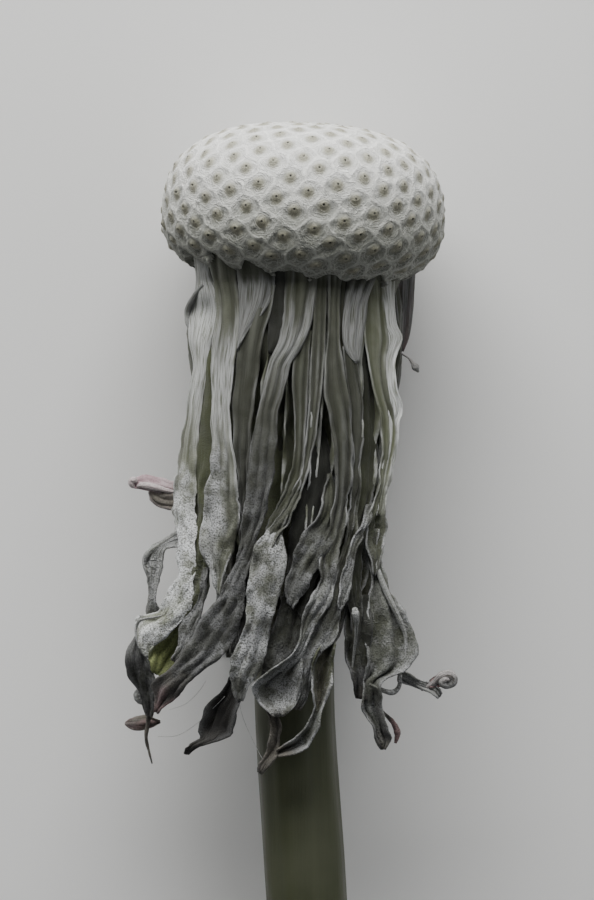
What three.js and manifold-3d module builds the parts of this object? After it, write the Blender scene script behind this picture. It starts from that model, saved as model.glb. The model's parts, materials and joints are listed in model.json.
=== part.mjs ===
// A dandelion head after its seeds have flown, lying on its side: a pitted white dome and two
// whorls of withered bracts, folded back round a hollow stem.
// Millimetres. +Z is up from the surface it lies on, +Y runs along the stem to the dome, and +X is
// to the right. While it is built, the stem's axis is the Y axis and the dome is widest at y = 0.

import * as THREE from "three";
import { ConvexHull } from "three/addons/math/ConvexHull.js";
import { mergeVertices } from "three/addons/utils/BufferGeometryUtils.js";
import Module from "manifold-3d";

const floorZ = -5.85; // the surface it lies on: the dome's side is pressed flat by 0.15
const pieceGap = 0.3;

const domeRadius = 6.0;
const crownHeight = 4.1;
const underHeight = 3.2; // if the underside weren't cut flat at domeFootY
const domeRoundness = 2.25; // 2 would be an ellipse
const domeFootY = -2.45;
const domeLean = THREE.MathUtils.degToRad(-2.5);

const scarCount = 330; // with those that the flat underside cuts away
const scarLowestY = -2.75;
const crownPitDepth = 0.13;
const rimPitDepth = 0.26;
const pitWidthShare = 0.52;
const nubDepthShare = 0.3;
const ridgeRise = 0.09;
const restSpotReach = 2.2;

const stemRadius = 1.72;
const stemWall = 0.5;
const stemTopY = -2.8;
const stemEndY = -40.0;

const innerCollar = { top: -2.75, bottom: -3.7, bore: stemRadius + pieceGap, rim: 3.95, steps: 13 };
const outerCollar = { top: -4.1, bottom: -5.1, bore: stemRadius + pieceGap, rim: 2.9, steps: 8 };
const bladeThickness = 0.6;

const bractRootY = -3.05;
const goldenAngle = Math.PI * (3 - Math.sqrt(5));

const wasm = await Module();
wasm.setup();

function seededRandom(seed) {
  let state = seed;
  return () => {
    state = (state * 1664525 + 1013904223) % 4294967296;
    return state / 4294967296;
  };
}

function toSolid(geometry) {
  const bare = geometry.clone();
  bare.deleteAttribute("normal");
  bare.deleteAttribute("uv");
  const merged = mergeVertices(bare, 1e-4);
  const vertProperties = new Float32Array(merged.attributes.position.array);
  const triVerts = new Uint32Array(merged.index.array);
  return new wasm.Manifold(new wasm.Mesh({ numProp: 3, vertProperties, triVerts }));
}

function toGeometry(solid) {
  const mesh = solid.getMesh();
  const geometry = new THREE.BufferGeometry();
  geometry.setAttribute("position", new THREE.BufferAttribute(mesh.vertProperties, 3));
  geometry.setIndex(new THREE.BufferAttribute(mesh.triVerts, 1));
  return geometry;
}

function meshOf(name, geometry, look) {
  geometry.computeVertexNormals();
  const mesh = new THREE.Mesh(geometry, new THREE.MeshStandardMaterial(look));
  mesh.name = name;
  return mesh;
}

// A block whose top face is at the given height along Y or Z, to cut a flat.
function blockBelow(axis, height) {
  const side = 120;
  const block = new THREE.BoxGeometry(side, side, side);
  const centre = height - side / 2;
  block.translate(0, axis === "y" ? centre : 0, axis === "z" ? centre : 0);
  return toSolid(block);
}

const underFloor = blockBelow("z", floorZ);

// The dome's profile is a superellipse: the angle runs from the crown to the lowest point.
function domeProfile(angle) {
  const power = 2 / domeRoundness;
  const height = Math.cos(angle) > 0 ? crownHeight : underHeight;
  return {
    radius: domeRadius * Math.pow(Math.sin(angle), power),
    y: Math.sign(Math.cos(angle)) * height * Math.pow(Math.abs(Math.cos(angle)), power),
  };
}

// The profile angles that share the dome's skin out evenly between the scars.
function evenProfileAngles(count) {
  const slices = 2000;
  const areas = [0];
  for (let slice = 1; slice <= slices; slice++) {
    const from = domeProfile(((slice - 1) / slices) * Math.PI);
    const to = domeProfile((slice / slices) * Math.PI);
    const slant = Math.hypot(to.radius - from.radius, to.y - from.y);
    areas.push(areas[slice - 1] + slant * (from.radius + to.radius));
  }
  const angles = [];
  let slice = 1;
  for (let index = 0; index < count; index++) {
    const wanted = ((index + 0.5) / count) * areas[slices];
    while (areas[slice] < wanted) slice += 1;
    const part = (wanted - areas[slice - 1]) / (areas[slice] - areas[slice - 1]);
    angles.push(((slice - 1 + part) / slices) * Math.PI);
  }
  return angles;
}

function domeNormal(point) {
  const height = point.y > 0 ? crownHeight : underHeight;
  const radius = Math.hypot(point.x, point.z);
  const outward = Math.pow(radius / domeRadius, domeRoundness - 1) / domeRadius;
  const upward = Math.pow(Math.abs(point.y) / height, domeRoundness - 1) / height;
  const normal = new THREE.Vector3(point.x, 0, point.z).multiplyScalar(outward / radius);
  normal.y = Math.sign(point.y) * upward;
  return normal.normalize();
}

// Scars stand in spirals at the golden angle, as the florets did.
function scarCentres() {
  return evenProfileAngles(scarCount).map((angle, index) => {
    const { radius, y } = domeProfile(angle);
    const turn = index * goldenAngle;
    return new THREE.Vector3(radius * Math.sin(turn), y, radius * Math.cos(turn));
  });
}

// Triples of neighbouring scars, found on a sphere where they lie equally evenly.
function neighbouringScars() {
  const numbers = new Map();
  for (let index = 0; index < scarCount; index++) {
    const height = 1 - (2 * (index + 0.5)) / scarCount;
    const radius = Math.sqrt(1 - height * height);
    const turn = index * goldenAngle;
    numbers.set(new THREE.Vector3(radius * Math.sin(turn), height, radius * Math.cos(turn)), index);
  }
  const hull = new ConvexHull().setFromPoints([...numbers.keys()]);
  return hull.faces.map((face) => {
    const edges = [face.edge, face.edge.next, face.edge.next.next];
    return edges.map((edge) => numbers.get(edge.head().point));
  });
}

// The points of the raised net, one among each three neighbouring scars.
function netPoints(scars, triples, random) {
  return triples.map((triple) => {
    const point = new THREE.Vector3();
    for (const scar of triple) point.addScaledVector(scars[scar], 1 / 3);
    const rise = ridgeRise * (0.6 + 0.8 * random());
    return point.addScaledVector(domeNormal(point), rise);
  });
}

// The net points round one scar, anticlockwise as seen from outside.
function ringRound(scar, normal, corners, points) {
  const across = new THREE.Vector3(0, 0, 1).cross(normal).normalize();
  const along = normal.clone().cross(across);
  const bearing = (corner) => {
    const offset = points[corner].clone().sub(scar);
    return Math.atan2(offset.dot(along), offset.dot(across));
  };
  return [...corners].sort((one, other) => bearing(one) - bearing(other));
}

// A scar is a shallow pit with a low nub in it; the pits fade out where the dome is pressed flat.
function pitDepthAt(scar) {
  if (scar.y < scarLowestY) return 0;
  const towardsRim = THREE.MathUtils.clamp((crownHeight - scar.y) / (crownHeight - domeFootY), 0, 1);
  const restSpot = new THREE.Vector3(0, 0, -domeRadius);
  const away = scar.distanceTo(restSpot);
  const pressed = THREE.MathUtils.smoothstep(away, restSpotReach * 0.6, restSpotReach);
  return pressed * THREE.MathUtils.lerp(crownPitDepth, rimPitDepth, towardsRim ** 2);
}

function domeGeometry() {
  const scars = scarCentres();
  const triples = neighbouringScars();
  const points = netPoints(scars, triples, seededRandom(11));
  const corners = scars.map(() => []);
  triples.forEach((triple, corner) => triple.forEach((scar) => corners[scar].push(corner)));
  const index = [];
  scars.forEach((scar, number) => {
    const normal = domeNormal(scar);
    const depth = pitDepthAt(scar);
    const ring = ringRound(scar, normal, corners[number], points);
    const centre = points.push(scar.clone().addScaledVector(normal, -depth * nubDepthShare)) - 1;
    const floor = ring.map((corner) => {
      const point = points[corner].clone().lerp(scar, 1 - pitWidthShare);
      return points.push(point.addScaledVector(normal, -depth)) - 1;
    });
    ring.forEach((corner, step) => {
      const next = (step + 1) % ring.length;
      index.push(corner, ring[next], floor[step]);
      index.push(floor[step], ring[next], floor[next]);
      index.push(floor[step], floor[next], centre);
    });
  });
  const geometry = new THREE.BufferGeometry().setFromPoints(points);
  geometry.setIndex(index);
  return geometry;
}

function receptacle() {
  const dome = toSolid(domeGeometry()).subtract(blockBelow("y", domeFootY));
  const leaning = toSolid(toGeometry(dome).rotateZ(domeLean)).subtract(underFloor);
  const look = { color: 0xd9dad2, roughness: 0.9, metalness: 0.0 };
  return meshOf("receptacle", toGeometry(leaning), look);
}

function stem() {
  const route = new THREE.CatmullRomCurve3([
    new THREE.Vector3(0.05, stemTopY, 0),
    new THREE.Vector3(-0.1, -9.0, 0),
    new THREE.Vector3(-0.35, -16.0, 0),
    new THREE.Vector3(-0.35, -21.0, 0),
    new THREE.Vector3(0.08, -28.0, 0),
    new THREE.Vector3(0.5, -34.0, -0.1),
    new THREE.Vector3(0.85, stemEndY, -0.3),
  ]);
  const section = new THREE.Shape().absarc(0, 0, stemRadius, 0, 2 * Math.PI);
  section.holes.push(new THREE.Path().absarc(0, 0, stemRadius - stemWall, 0, 2 * Math.PI, true));
  const tube = new THREE.ExtrudeGeometry(section, { steps: 14, curveSegments: 10, extrudePath: route });
  return meshOf("stem", toGeometry(toSolid(tube)), { color: 0x6f7548, roughness: 0.6, metalness: 0.0 });
}

// A ring round the stem that bracts grow from.
function collarSolid({ top, bottom, bore, rim }) {
  const slope = (rim - bore) * 0.35;
  const profile = [
    new THREE.Vector2(bore, bottom),
    new THREE.Vector2(rim - slope, bottom),
    new THREE.Vector2(rim, (top + bottom) / 2),
    new THREE.Vector2(rim, top),
    new THREE.Vector2(bore, top),
    new THREE.Vector2(bore, bottom),
  ];
  return toSolid(new THREE.LatheGeometry(profile, 32).rotateZ(domeLean));
}

// A bract's route is a list of stations from root to tip, each [x, y, z, width, face]. The face is the
// bearing round the stem, in degrees from straight up, that the bract's outer side looks to; a station
// without one looks straight out from the stem.
function bearingAt([x, , z, , face]) {
  return face === undefined ? Math.atan2(x, z) : THREE.MathUtils.degToRad(face);
}

function stationAt(route, share) {
  const place = share * (route.length - 1);
  const first = Math.min(Math.floor(place), route.length - 2);
  const part = place - first;
  return {
    width: THREE.MathUtils.lerp(route[first][3], route[first + 1][3], part),
    bearing: THREE.MathUtils.lerp(bearingAt(route[first]), bearingAt(route[first + 1]), part),
  };
}

// Six corners of a bract's section, as shares of its width and thickness.
const bladeSection = [[-0.5, -0.15], [-0.22, 0.5], [0.22, 0.5], [0.5, -0.15], [0.22, -0.5], [-0.22, -0.5]];

function bladeRing(curve, route, share) {
  const { width, bearing } = stationAt(route, share);
  const along = curve.getTangent(share);
  const outward = new THREE.Vector3(Math.sin(bearing), 0, Math.cos(bearing));
  const across = along.clone().cross(outward).normalize();
  outward.crossVectors(across, along).normalize();
  return bladeSection.map(([side, depth]) => {
    const point = curve.getPoint(share);
    return point.addScaledVector(across, side * width).addScaledVector(outward, depth * bladeThickness);
  });
}

// The sides of a blade, each from the section corner that its diagonals start at to the one they end
// at. Both faces are split alike, so a twisted blade can't cross itself.
const forwardSides = [[0, 1], [1, 2], [3, 4]];
const backwardSides = [[3, 2], [5, 4], [0, 5]];

function bladeSolid(route, steps) {
  const curve = new THREE.CatmullRomCurve3(route.map(([x, y, z]) => new THREE.Vector3(x, y, z)));
  const points = [];
  for (let step = 0; step <= steps; step++) points.push(...bladeRing(curve, route, step / steps));
  const corners = bladeSection.length;
  const index = [];
  for (let step = 0; step < steps; step++) {
    const near = step * corners;
    const far = near + corners;
    for (const [from, to] of forwardSides) {
      index.push(near + from, near + to, far + to);
      index.push(near + from, far + to, far + from);
    }
    for (const [from, to] of backwardSides) {
      index.push(near + from, far + to, near + to);
      index.push(near + from, far + from, far + to);
    }
  }
  const last = steps * corners;
  for (let corner = 1; corner < corners - 1; corner++) {
    index.push(0, corner + 1, corner);
    index.push(last, last + corner, last + corner + 1);
  }
  const geometry = new THREE.BufferGeometry().setFromPoints(points);
  geometry.setIndex(index);
  return toSolid(geometry);
}

function whorl(name, collar, routes, look) {
  let solid = collarSolid(collar);
  for (const route of routes) solid = solid.add(bladeSolid(route, collar.steps));
  return meshOf(name, toGeometry(solid.subtract(underFloor)), look);
}

// The long bracts that show, from the left edge across the front to the right edge.
const shownInnerRoutes = [
  [
    [-3.6, bractRootY, -1.6, 1.6], [-4.2, -5.5, -1.7, 1.2], [-4.4, -8.5, -1.8, 1.0],
    [-4.6, -12.0, -1.8, 0.8], [-5.4, -13.3, -1.6, 0.7], [-6.7, -14.3, -1.5, 0.6, -30],
    [-6.6, -15.6, -1.5, 0.6, -30], [-6.5, -16.6, -1.7, 0.5, -30],
  ],
  [
    [-3.85, bractRootY, 0.6, 2.0], [-4.7, -4.2, 1.0, 1.8], [-4.45, -5.4, 1.0, 1.4], [-4.3, -7.2, 1.1, 1.3],
    [-4.55, -9.2, 1.1, 1.2], [-4.85, -11.0, 1.1, 1.1], [-4.95, -12.8, 1.2, 1.2], [-4.85, -14.6, 1.4, 1.3],
    [-5.3, -16.2, 1.6, 1.6, -40], [-6.2, -17.5, 1.6, 1.8, -50], [-6.9, -18.9, 1.0, 1.7, -60],
    [-6.8, -20.5, 0.4, 1.1, -70], [-6.5, -22.8, 0.1, 0.5, -70],
  ],
  [
    [-3.6, bractRootY, 1.4, 1.6], [-3.75, -5.5, 1.6, 1.2], [-3.85, -8.0, 1.7, 1.1], [-4.1, -11.0, 1.7, 1.0],
    [-4.2, -13.2, 1.7, 0.8], [-4.2, -15.0, 1.6, 0.4],
  ],
  [
    [-3.1, bractRootY, 2.2, 1.9], [-3.6, -4.8, 2.4, 1.5], [-3.3, -6.2, 2.6, 1.2], [-3.3, -8.5, 2.6, 1.1],
    [-3.3, -10.6, 2.6, 1.0], [-3.3, -12.2, 2.7, 1.4], [-3.4, -13.7, 2.7, 1.4], [-3.4, -15.7, 2.6, 0.35],
  ],
  [
    [-1.8, bractRootY, 3.3, 1.8], [-2.15, -4.5, 3.5, 1.5], [-2.4, -6.2, 3.6, 1.2], [-2.5, -8.0, 3.6, 1.1],
    [-2.55, -10.8, 3.4, 0.8], [-2.75, -13.3, 3.2, 0.8], [-4.0, -15.2, 2.8, 0.9], [-4.85, -16.9, 2.6, 1.0],
    [-5.5, -18.4, 2.4, 0.9], [-6.1, -19.8, 2.2, 0.4],
  ],
  [
    [-0.8, bractRootY, 3.4, 1.4], [-0.9, -5.8, 3.5, 1.2], [-0.95, -9.0, 3.4, 1.2], [-1.1, -12.0, 3.4, 1.2],
    [-1.8, -15.0, 3.2, 1.1], [-2.5, -17.5, 3.0, 1.2], [-3.1, -19.5, 2.9, 1.2], [-3.9, -21.0, 2.9, 1.0],
    [-4.8, -22.7, 2.8, 0.4],
  ],
  [
    [0.1, bractRootY, 3.8, 1.6], [0.1, -4.3, 4.1, 1.5], [-0.6, -5.5, 4.3, 1.2], [-1.1, -6.7, 4.3, 1.0],
    [-1.5, -8.5, 4.2, 1.0], [-1.9, -11.2, 4.1, 1.1], [-2.4, -13.7, 3.9, 1.1], [-3.0, -16.0, 3.7, 1.2],
    [-3.75, -17.8, 3.5, 1.3], [-4.75, -19.5, 3.3, 1.2], [-5.75, -20.9, 3.1, 0.4],
  ],
  [
    [-0.2, -3.1, 3.4, 1.2], [-0.2, -5.5, 3.7, 1.1], [-0.1, -8.5, 3.7, 1.0], [0.05, -10.4, 3.7, 1.1],
    [0.05, -11.9, 3.8, 1.3], [-0.25, -13.4, 3.8, 1.2], [-0.5, -15.0, 3.8, 1.0], [-0.5, -16.7, 3.9, 1.2],
    [-0.8, -18.2, 3.9, 1.3], [-1.35, -19.6, 3.7, 1.2], [-1.2, -20.9, 3.4, 0.8], [-1.2, -22.0, 3.2, 0.5],
    [-1.8, -23.4, 3.0, 0.35],
  ],
  [
    [0.8, bractRootY, 3.7, 1.3], [0.55, -5.2, 4.1, 1.0], [0.45, -7.7, 4.1, 0.8], [0.2, -9.5, 4.1, 0.7],
    [-0.2, -11.3, 4.2, 0.8], [-1.0, -12.8, 4.4, 1.1], [-1.45, -14.6, 4.6, 1.5], [-1.55, -16.2, 4.6, 1.3],
    [-2.0, -17.8, 4.5, 1.5], [-2.35, -19.3, 4.3, 1.2], [-2.8, -21.0, 3.9, 0.35],
  ],
  [
    [1.5, bractRootY, 3.5, 1.5], [1.1, -4.8, 4.0, 1.3], [1.1, -6.6, 4.2, 1.2], [1.3, -9.0, 4.2, 0.9],
    [1.2, -11.4, 4.2, 1.0], [0.9, -13.6, 4.3, 1.2], [0.75, -15.2, 4.4, 1.3], [0.75, -16.8, 4.4, 1.4],
    [0.6, -18.2, 4.3, 1.3], [0.45, -19.6, 4.2, 1.1], [0.35, -20.8, 4.0, 0.8], [0.1, -22.0, 3.8, 0.5],
    [-0.7, -22.5, 3.6, 0.35],
  ],
  [
    [2.1, bractRootY, 3.1, 1.6], [2.1, -4.6, 3.5, 1.4], [1.95, -6.2, 3.7, 0.9], [2.0, -8.0, 3.8, 0.9],
    [2.1, -10.2, 3.8, 0.8], [1.95, -12.4, 3.8, 0.8], [1.65, -15.0, 3.8, 0.8], [1.5, -16.4, 3.8, 0.7],
    [1.35, -17.7, 3.7, 0.35],
  ],
  [
    [2.6, bractRootY, 2.7, 1.4], [2.75, -6.0, 3.0, 1.1], [2.8, -9.0, 3.0, 0.9], [2.7, -11.5, 3.0, 0.9],
    [2.35, -13.8, 3.0, 0.9], [2.15, -16.0, 3.0, 1.0], [2.1, -17.8, 2.9, 1.0], [2.25, -19.4, 2.8, 0.8],
    [2.65, -20.7, 2.7, 0.7], [3.1, -21.7, 2.6, 0.5], [3.6, -22.3, 2.5, 0.35],
  ],
  [
    [3.0, bractRootY, 2.3, 1.5], [3.2, -4.6, 2.8, 1.2], [3.0, -6.2, 3.1, 1.1], [3.4, -7.8, 2.9, 1.1],
    [3.45, -9.4, 2.8, 0.9], [3.15, -11.6, 2.8, 0.8], [3.1, -13.6, 2.9, 1.1], [3.3, -15.6, 2.9, 1.6],
    [3.45, -17.6, 2.7, 1.9], [3.9, -19.2, 2.4, 1.1], [5.0, -19.9, 2.2, 0.6, 20], [6.5, -19.5, 2.2, 0.4, 20],
  ],
  [
    [3.6, bractRootY, 1.3, 1.6], [3.75, -4.8, 1.5, 1.2], [3.65, -6.6, 1.6, 1.1], [3.75, -9.0, 1.6, 1.1],
    [3.5, -11.2, 1.6, 1.1], [3.15, -13.4, 1.6, 1.2, 40], [3.2, -15.6, 1.7, 1.2, 40],
    [3.3, -17.6, 1.8, 1.0, 40], [3.25, -19.3, 1.7, 0.5, 40],
  ],
  [
    [3.75, bractRootY, -1.1, 1.6], [4.3, -4.0, -1.3, 1.3, 70], [4.45, -5.2, -1.4, 0.9, 60],
    [4.8, -6.5, -1.4, 0.4, 50],
  ],
];

// The long bracts on the underside: they hang along the stem and spread at the tips, where the
// two at the ends of the row reach down to the surface.
function hiddenInnerRoute(turn, spread, random) {
  const bearing = THREE.MathUtils.degToRad(turn);
  const sway = (random() - 0.5) * 0.24;
  const length = 15 + 1.2 * random();
  const stations = 9;
  return Array.from({ length: stations }, (_, station) => {
    const share = station / (stations - 1);
    const angle = bearing + sway * Math.sin(share * 6);
    const radius = 3.9 + 0.3 * Math.sin(Math.min(share * 3, 1.5)) + spread * share ** 3;
    const width = station === stations - 1 ? 0.4 : 1.5 - 0.6 * Math.sin(share * Math.PI) ** 2;
    return [radius * Math.sin(angle), bractRootY - length * share, radius * Math.cos(angle), width];
  });
}

function hiddenInnerRoutes() {
  const random = seededRandom(5);
  const supports = [[-151, 2.8], [151, 2.8]];
  const between = [[-172, 1.0], [172, 1.2], [-126, 0.6], [122, 0.5]];
  return [...supports, ...between].map(([turn, spread]) => hiddenInnerRoute(turn, spread, random));
}

function innerBracts() {
  const routes = [...shownInnerRoutes, ...hiddenInnerRoutes()];
  return whorl("inner_bracts", innerCollar, routes, { color: 0x9a9c8c, roughness: 0.85, metalness: 0.0 });
}

// The one short bract that sticks out, at the left.
const stickingOutRoute = [
  [-2.45, -4.7, -0.5, 1.6], [-2.6, -6.4, -0.5, 1.4], [-2.65, -8.4, -0.5, 1.2],
  [-2.8, -10.2, -0.5, 1.1, -70], [-3.3, -11.2, -0.4, 1.1, -30], [-4.3, -11.5, -0.3, 1.1, -10],
  [-5.6, -11.5, -0.3, 1.1, -5],
  [-7.4, -11.25, -0.3, 0.6, -5],
];

// The other short bracts lie against the stem, evenly round it by the golden angle.
function stemHuggingRoute(number, random) {
  const angle = number * goldenAngle + 0.4;
  const length = 6 + 3 * random();
  const stations = 6;
  return Array.from({ length: stations }, (_, station) => {
    const share = station / (stations - 1);
    const radius = 2.45 + 0.25 * share;
    const width = 1.3 * (1 - share ** 2) + 0.4;
    return [radius * Math.sin(angle), -4.5 - length * share, radius * Math.cos(angle), width];
  });
}

function outerBracts() {
  const random = seededRandom(8);
  const routes = [stickingOutRoute];
  for (let number = 0; number < 9; number++) routes.push(stemHuggingRoute(number, random));
  return whorl("outer_bracts", outerCollar, routes, { color: 0x8c7f74, roughness: 0.85, metalness: 0.0 });
}

const dandelionHead = new THREE.Group();
dandelionHead.add(receptacle(), innerBracts(), outerBracts(), stem());

// The origin is moved to the middle of the underside of the whole.
const bounds = new THREE.Box3().setFromObject(dandelionHead);
const middle = bounds.getCenter(new THREE.Vector3());
dandelionHead.position.set(-middle.x, -middle.y, -bounds.min.z);

export default dandelionHead;
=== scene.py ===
import json
import math

import bmesh
import bpy
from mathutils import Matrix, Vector, noise
from mathutils.kdtree import KDTree


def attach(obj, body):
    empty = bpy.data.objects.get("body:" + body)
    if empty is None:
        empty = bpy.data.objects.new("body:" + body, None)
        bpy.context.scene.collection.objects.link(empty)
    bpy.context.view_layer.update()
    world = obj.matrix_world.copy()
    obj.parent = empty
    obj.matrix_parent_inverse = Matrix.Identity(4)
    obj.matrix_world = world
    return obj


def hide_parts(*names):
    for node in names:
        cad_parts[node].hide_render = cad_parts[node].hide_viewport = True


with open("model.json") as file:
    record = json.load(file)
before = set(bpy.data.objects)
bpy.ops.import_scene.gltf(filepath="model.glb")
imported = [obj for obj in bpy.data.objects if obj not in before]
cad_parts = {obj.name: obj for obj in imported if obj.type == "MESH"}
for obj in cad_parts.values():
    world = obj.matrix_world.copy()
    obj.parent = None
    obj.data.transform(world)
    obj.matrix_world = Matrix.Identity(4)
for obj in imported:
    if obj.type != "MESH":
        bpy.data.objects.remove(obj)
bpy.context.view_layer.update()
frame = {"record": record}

mm = 0.001
goldenAngle = math.pi * (3 - math.sqrt(5))
restSpot = frame["record"]["mounts"][0]["pos_m"]  # where the dome touches the surface
axisHeight = 5.85  # of the stem's axis above the surface
headLean = math.radians(-2.5)


# From millimetres round the stem's axis, where the dome is widest at y = 0, to the shared frame.
def placed(x, y, z):
    return Vector((x * mm + restSpot[0], y * mm + restSpot[1], (z + axisHeight) * mm))


def leaning(x, y, z):
    cos, sin = math.cos(headLean), math.sin(headLean)
    return placed(x * cos - y * sin, x * sin + y * cos, z)


# Numbers from 0 to 1 that are the same in every run.
def seededRandom(seed):
    state = seed
    span = 2 ** 32

    def draw():
        nonlocal state
        state = (state * 1664525 + 1013904223) % span
        return state / span

    return draw


def mixed(start, end, share):
    return start + (end - start) * share


def smoothStep(value, low, high):
    share = min(max((value - low) / (high - low), 0.0), 1.0)
    return share * share * (3 - 2 * share)


def noiseAt(x, y, z):
    return noise.noise(Vector((x, y, z)))


def deselectAll():
    if bpy.context.mode != "OBJECT":
        bpy.ops.object.mode_set(mode="OBJECT")
    bpy.ops.object.select_all(action="DESELECT")


def makeActive(piece):
    deselectAll()
    piece.select_set(True)
    bpy.context.view_layer.objects.active = piece


def applyAll(piece):
    makeActive(piece)
    for modifier in list(piece.modifiers):
        bpy.ops.object.modifier_apply(modifier=modifier.name)


def joined(pieces, name):
    makeActive(pieces[0])
    for piece in pieces:
        piece.select_set(True)
    bpy.ops.object.join()
    pieces[0].name = name
    pieces[0].data.name = name
    return pieces[0]


def finishPiece(piece, material, node):
    makeActive(piece)
    bpy.ops.object.shade_smooth()
    piece.data.materials.clear()
    piece.data.materials.append(material)
    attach(piece, "root")
    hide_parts(node)


def setPointValues(mesh, name, values):
    mesh.attributes.new(name, "FLOAT", "POINT").data.foreach_set("value", values)


# The rest of these are for the materials, whose patterns are in millimetres of the part itself.
def newMaterial(name, roughness, **settings):
    material = bpy.data.materials.new(name)
    material.use_nodes = True
    shader = material.node_tree.nodes["Principled BSDF"]
    shader.inputs["Roughness"].default_value = roughness
    for socket, value in settings.items():
        shader.inputs[socket.replace("_", " ")].default_value = value
    return material


def put(material, kind, inputs=None, **settings):
    node = material.node_tree.nodes.new(kind)
    for name, value in settings.items():
        setattr(node, name, value)
    for socket, value in (inputs or {}).items():
        if isinstance(value, bpy.types.NodeSocket):
            material.node_tree.links.new(value, node.inputs[socket])
        else:
            node.inputs[socket].default_value = value
    return node


def toShader(material, socket, value):
    shader = material.node_tree.nodes["Principled BSDF"]
    material.node_tree.links.new(value, shader.inputs[socket])


def inMillimetres(material, stretch=(1, 1, 1)):
    spot = put(material, "ShaderNodeTexCoord").outputs["Object"]
    scale = [1000 * share for share in stretch]
    return put(material, "ShaderNodeMapping", {"Vector": spot, "Scale": scale}).outputs["Vector"]


def yOf(material, spot):
    return put(material, "ShaderNodeSeparateXYZ", {"Vector": spot}).outputs["Y"]


def lengthOf(material, vector):
    return put(material, "ShaderNodeVectorMath", {0: vector}, operation="LENGTH").outputs["Value"]


def pointValue(material, name):
    return put(material, "ShaderNodeAttribute", attribute_name=name).outputs["Fac"]


def noiseOf(material, vector, scale, detail=4.0, distortion=0.0):
    settings = {"Vector": vector, "Scale": scale, "Detail": detail, "Distortion": distortion}
    return put(material, "ShaderNodeTexNoise", settings).outputs["Fac"]


def sums(material, operation, first, second=0.0, third=0.0):
    inputs = {0: first, 1: second, 2: third}
    return put(material, "ShaderNodeMath", inputs, operation=operation, use_clamp=False).outputs[0]


def times(material, first, second):
    return sums(material, "MULTIPLY", first, second)


def timesPlus(material, first, second, third):
    return sums(material, "MULTIPLY_ADD", first, second, third)


def spread(material, value, low, high, first=0.0, last=1.0):
    inputs = {"Value": value, "From Min": low, "From Max": high, "To Min": first, "To Max": last}
    return put(material, "ShaderNodeMapRange", inputs, interpolation_type="SMOOTHSTEP").outputs[0]


def blended(material, share, first, second, kind="MIX"):
    node = put(material, "ShaderNodeMix", data_type="RGBA", blend_type=kind)
    for socket, value in ((0, share), (6, first), (7, second)):
        if isinstance(value, bpy.types.NodeSocket):
            material.node_tree.links.new(value, node.inputs[socket])
        elif socket == 0:
            node.inputs[socket].default_value = value
        else:
            node.inputs[socket].default_value = (*value, 1.0)
    return node.outputs[2]


def addBump(material, height, distance, strength):
    inputs = {"Height": height, "Distance": distance * mm, "Strength": strength}
    toShader(material, "Normal", put(material, "ShaderNodeBump", inputs).outputs["Normal"])


# The receptacle is a dome of pits, each with the low cone that a seed stood on. Where a value is a
# pair, it holds at the crown and at the rim.
receptacle = {
    "radius": 6.0,
    "crown": 4.1,
    "under": 3.2,
    "roundness": (2.6, 2.25),  # how square its shoulders are, above and below the widest ring
    "scars": 330,
    "uneven": 0.2,  # how far they stray from their spirals
    "lowestScar": -2.15,
    "leftRise": 0.45,  # how much higher the rim ends at the left
    "leftReach": (-0.9, 2.8),  # how far left of the middle that rise starts and is full
    "restReach": 2.2,  # how far from the resting spot the skin is pressed smoother
    "rings": [  # of a cell, from its border inwards: inset, how round, shift towards the crown
        (0.05, 0.1, 0.0), (0.06, 0.3, 0.01), (0.07, 0.6, 0.03), (0.08, 0.9, 0.04), (0.09, 1.0, 0.05),
        (0.08, 1.0, 0.03), (0.035, 1.0, 0.0),
    ],
    "rimTurns": [  # of the skin's border, from outside inwards: reach, rise and how ragged
        (0.995, -0.10, 0.20), (0.985, -0.08, 0.20), (0.96, -0.05, 0.06), (0.94, 0.05, 0.0),
        (0.92, 0.22, 0.0), (0.60, 0.10, 0.0),
    ],
    "crownToRim": (3.8, -0.6),  # the heights between which the crown turns into the rim
    "tip": (0.07, 0.19),  # how far the cone's tip stands above the middle of its cell
    "bowl": (0.06, 0.08),
    "cone": (0.14, 0.20),
    "net": (0.015, 0.03),
    "crinkle": (0.03, 0.07),
    "coneRadius": 0.38,
    "mouth": (0.14, 0.02, 0.065),  # of the hole in a cone's tip: depth, inner and outer radius
    "bowlBorder": (0.08, 0.42),  # how far from its border a bowl starts and is full
    "netWidth": 0.12,
    "tufts": 620,
    "tuftRadius": 0.11,
    "rimToCrown": (16.4, 21.4),  # the same heights for the tints, in the shared frame; towards the rim they turn greyer and darker, the darkening painted shade
    "white": (0.60, 0.60, 0.585),
    # at the rim: greyer tints, darkened further as painted shade where less light falls
    "rimWhiteWithShade": (0.205, 0.211, 0.18),
    "thread": (0.84, 0.84, 0.82),
    "rimThreadWithShade": (0.47, 0.475, 0.43),
    # a darker grey for random clouds, and for painted shade in the pits' bowls
    "cloudAndBowlShade": (0.36, 0.365, 0.32),
    "rimCloudAndBowlShade": (0.125, 0.13, 0.105),
    "coneTint": (0.19, 0.18, 0.12),
    "coneLight": (0.31, 0.30, 0.225),
    "hole": (0.02, 0.018, 0.014),
}
skinShare = 0.955  # a point belongs to the skin when it lies further out than this
offScars = (3, 3)  # a place in the pits' UV map that is far from every pit


# Its height over or under the widest ring, and how square it is there.
def domeHalf(y):
    look = receptacle
    return (look["crown"], look["roundness"][0]) if y > 0 else (look["under"], look["roundness"][1])


def domeProfile(angle):
    height, roundness = domeHalf(math.cos(angle))
    power = 2 / roundness
    y = math.copysign(height * abs(math.cos(angle)) ** power, math.cos(angle))
    return receptacle["radius"] * math.sin(angle) ** power, y


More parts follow.
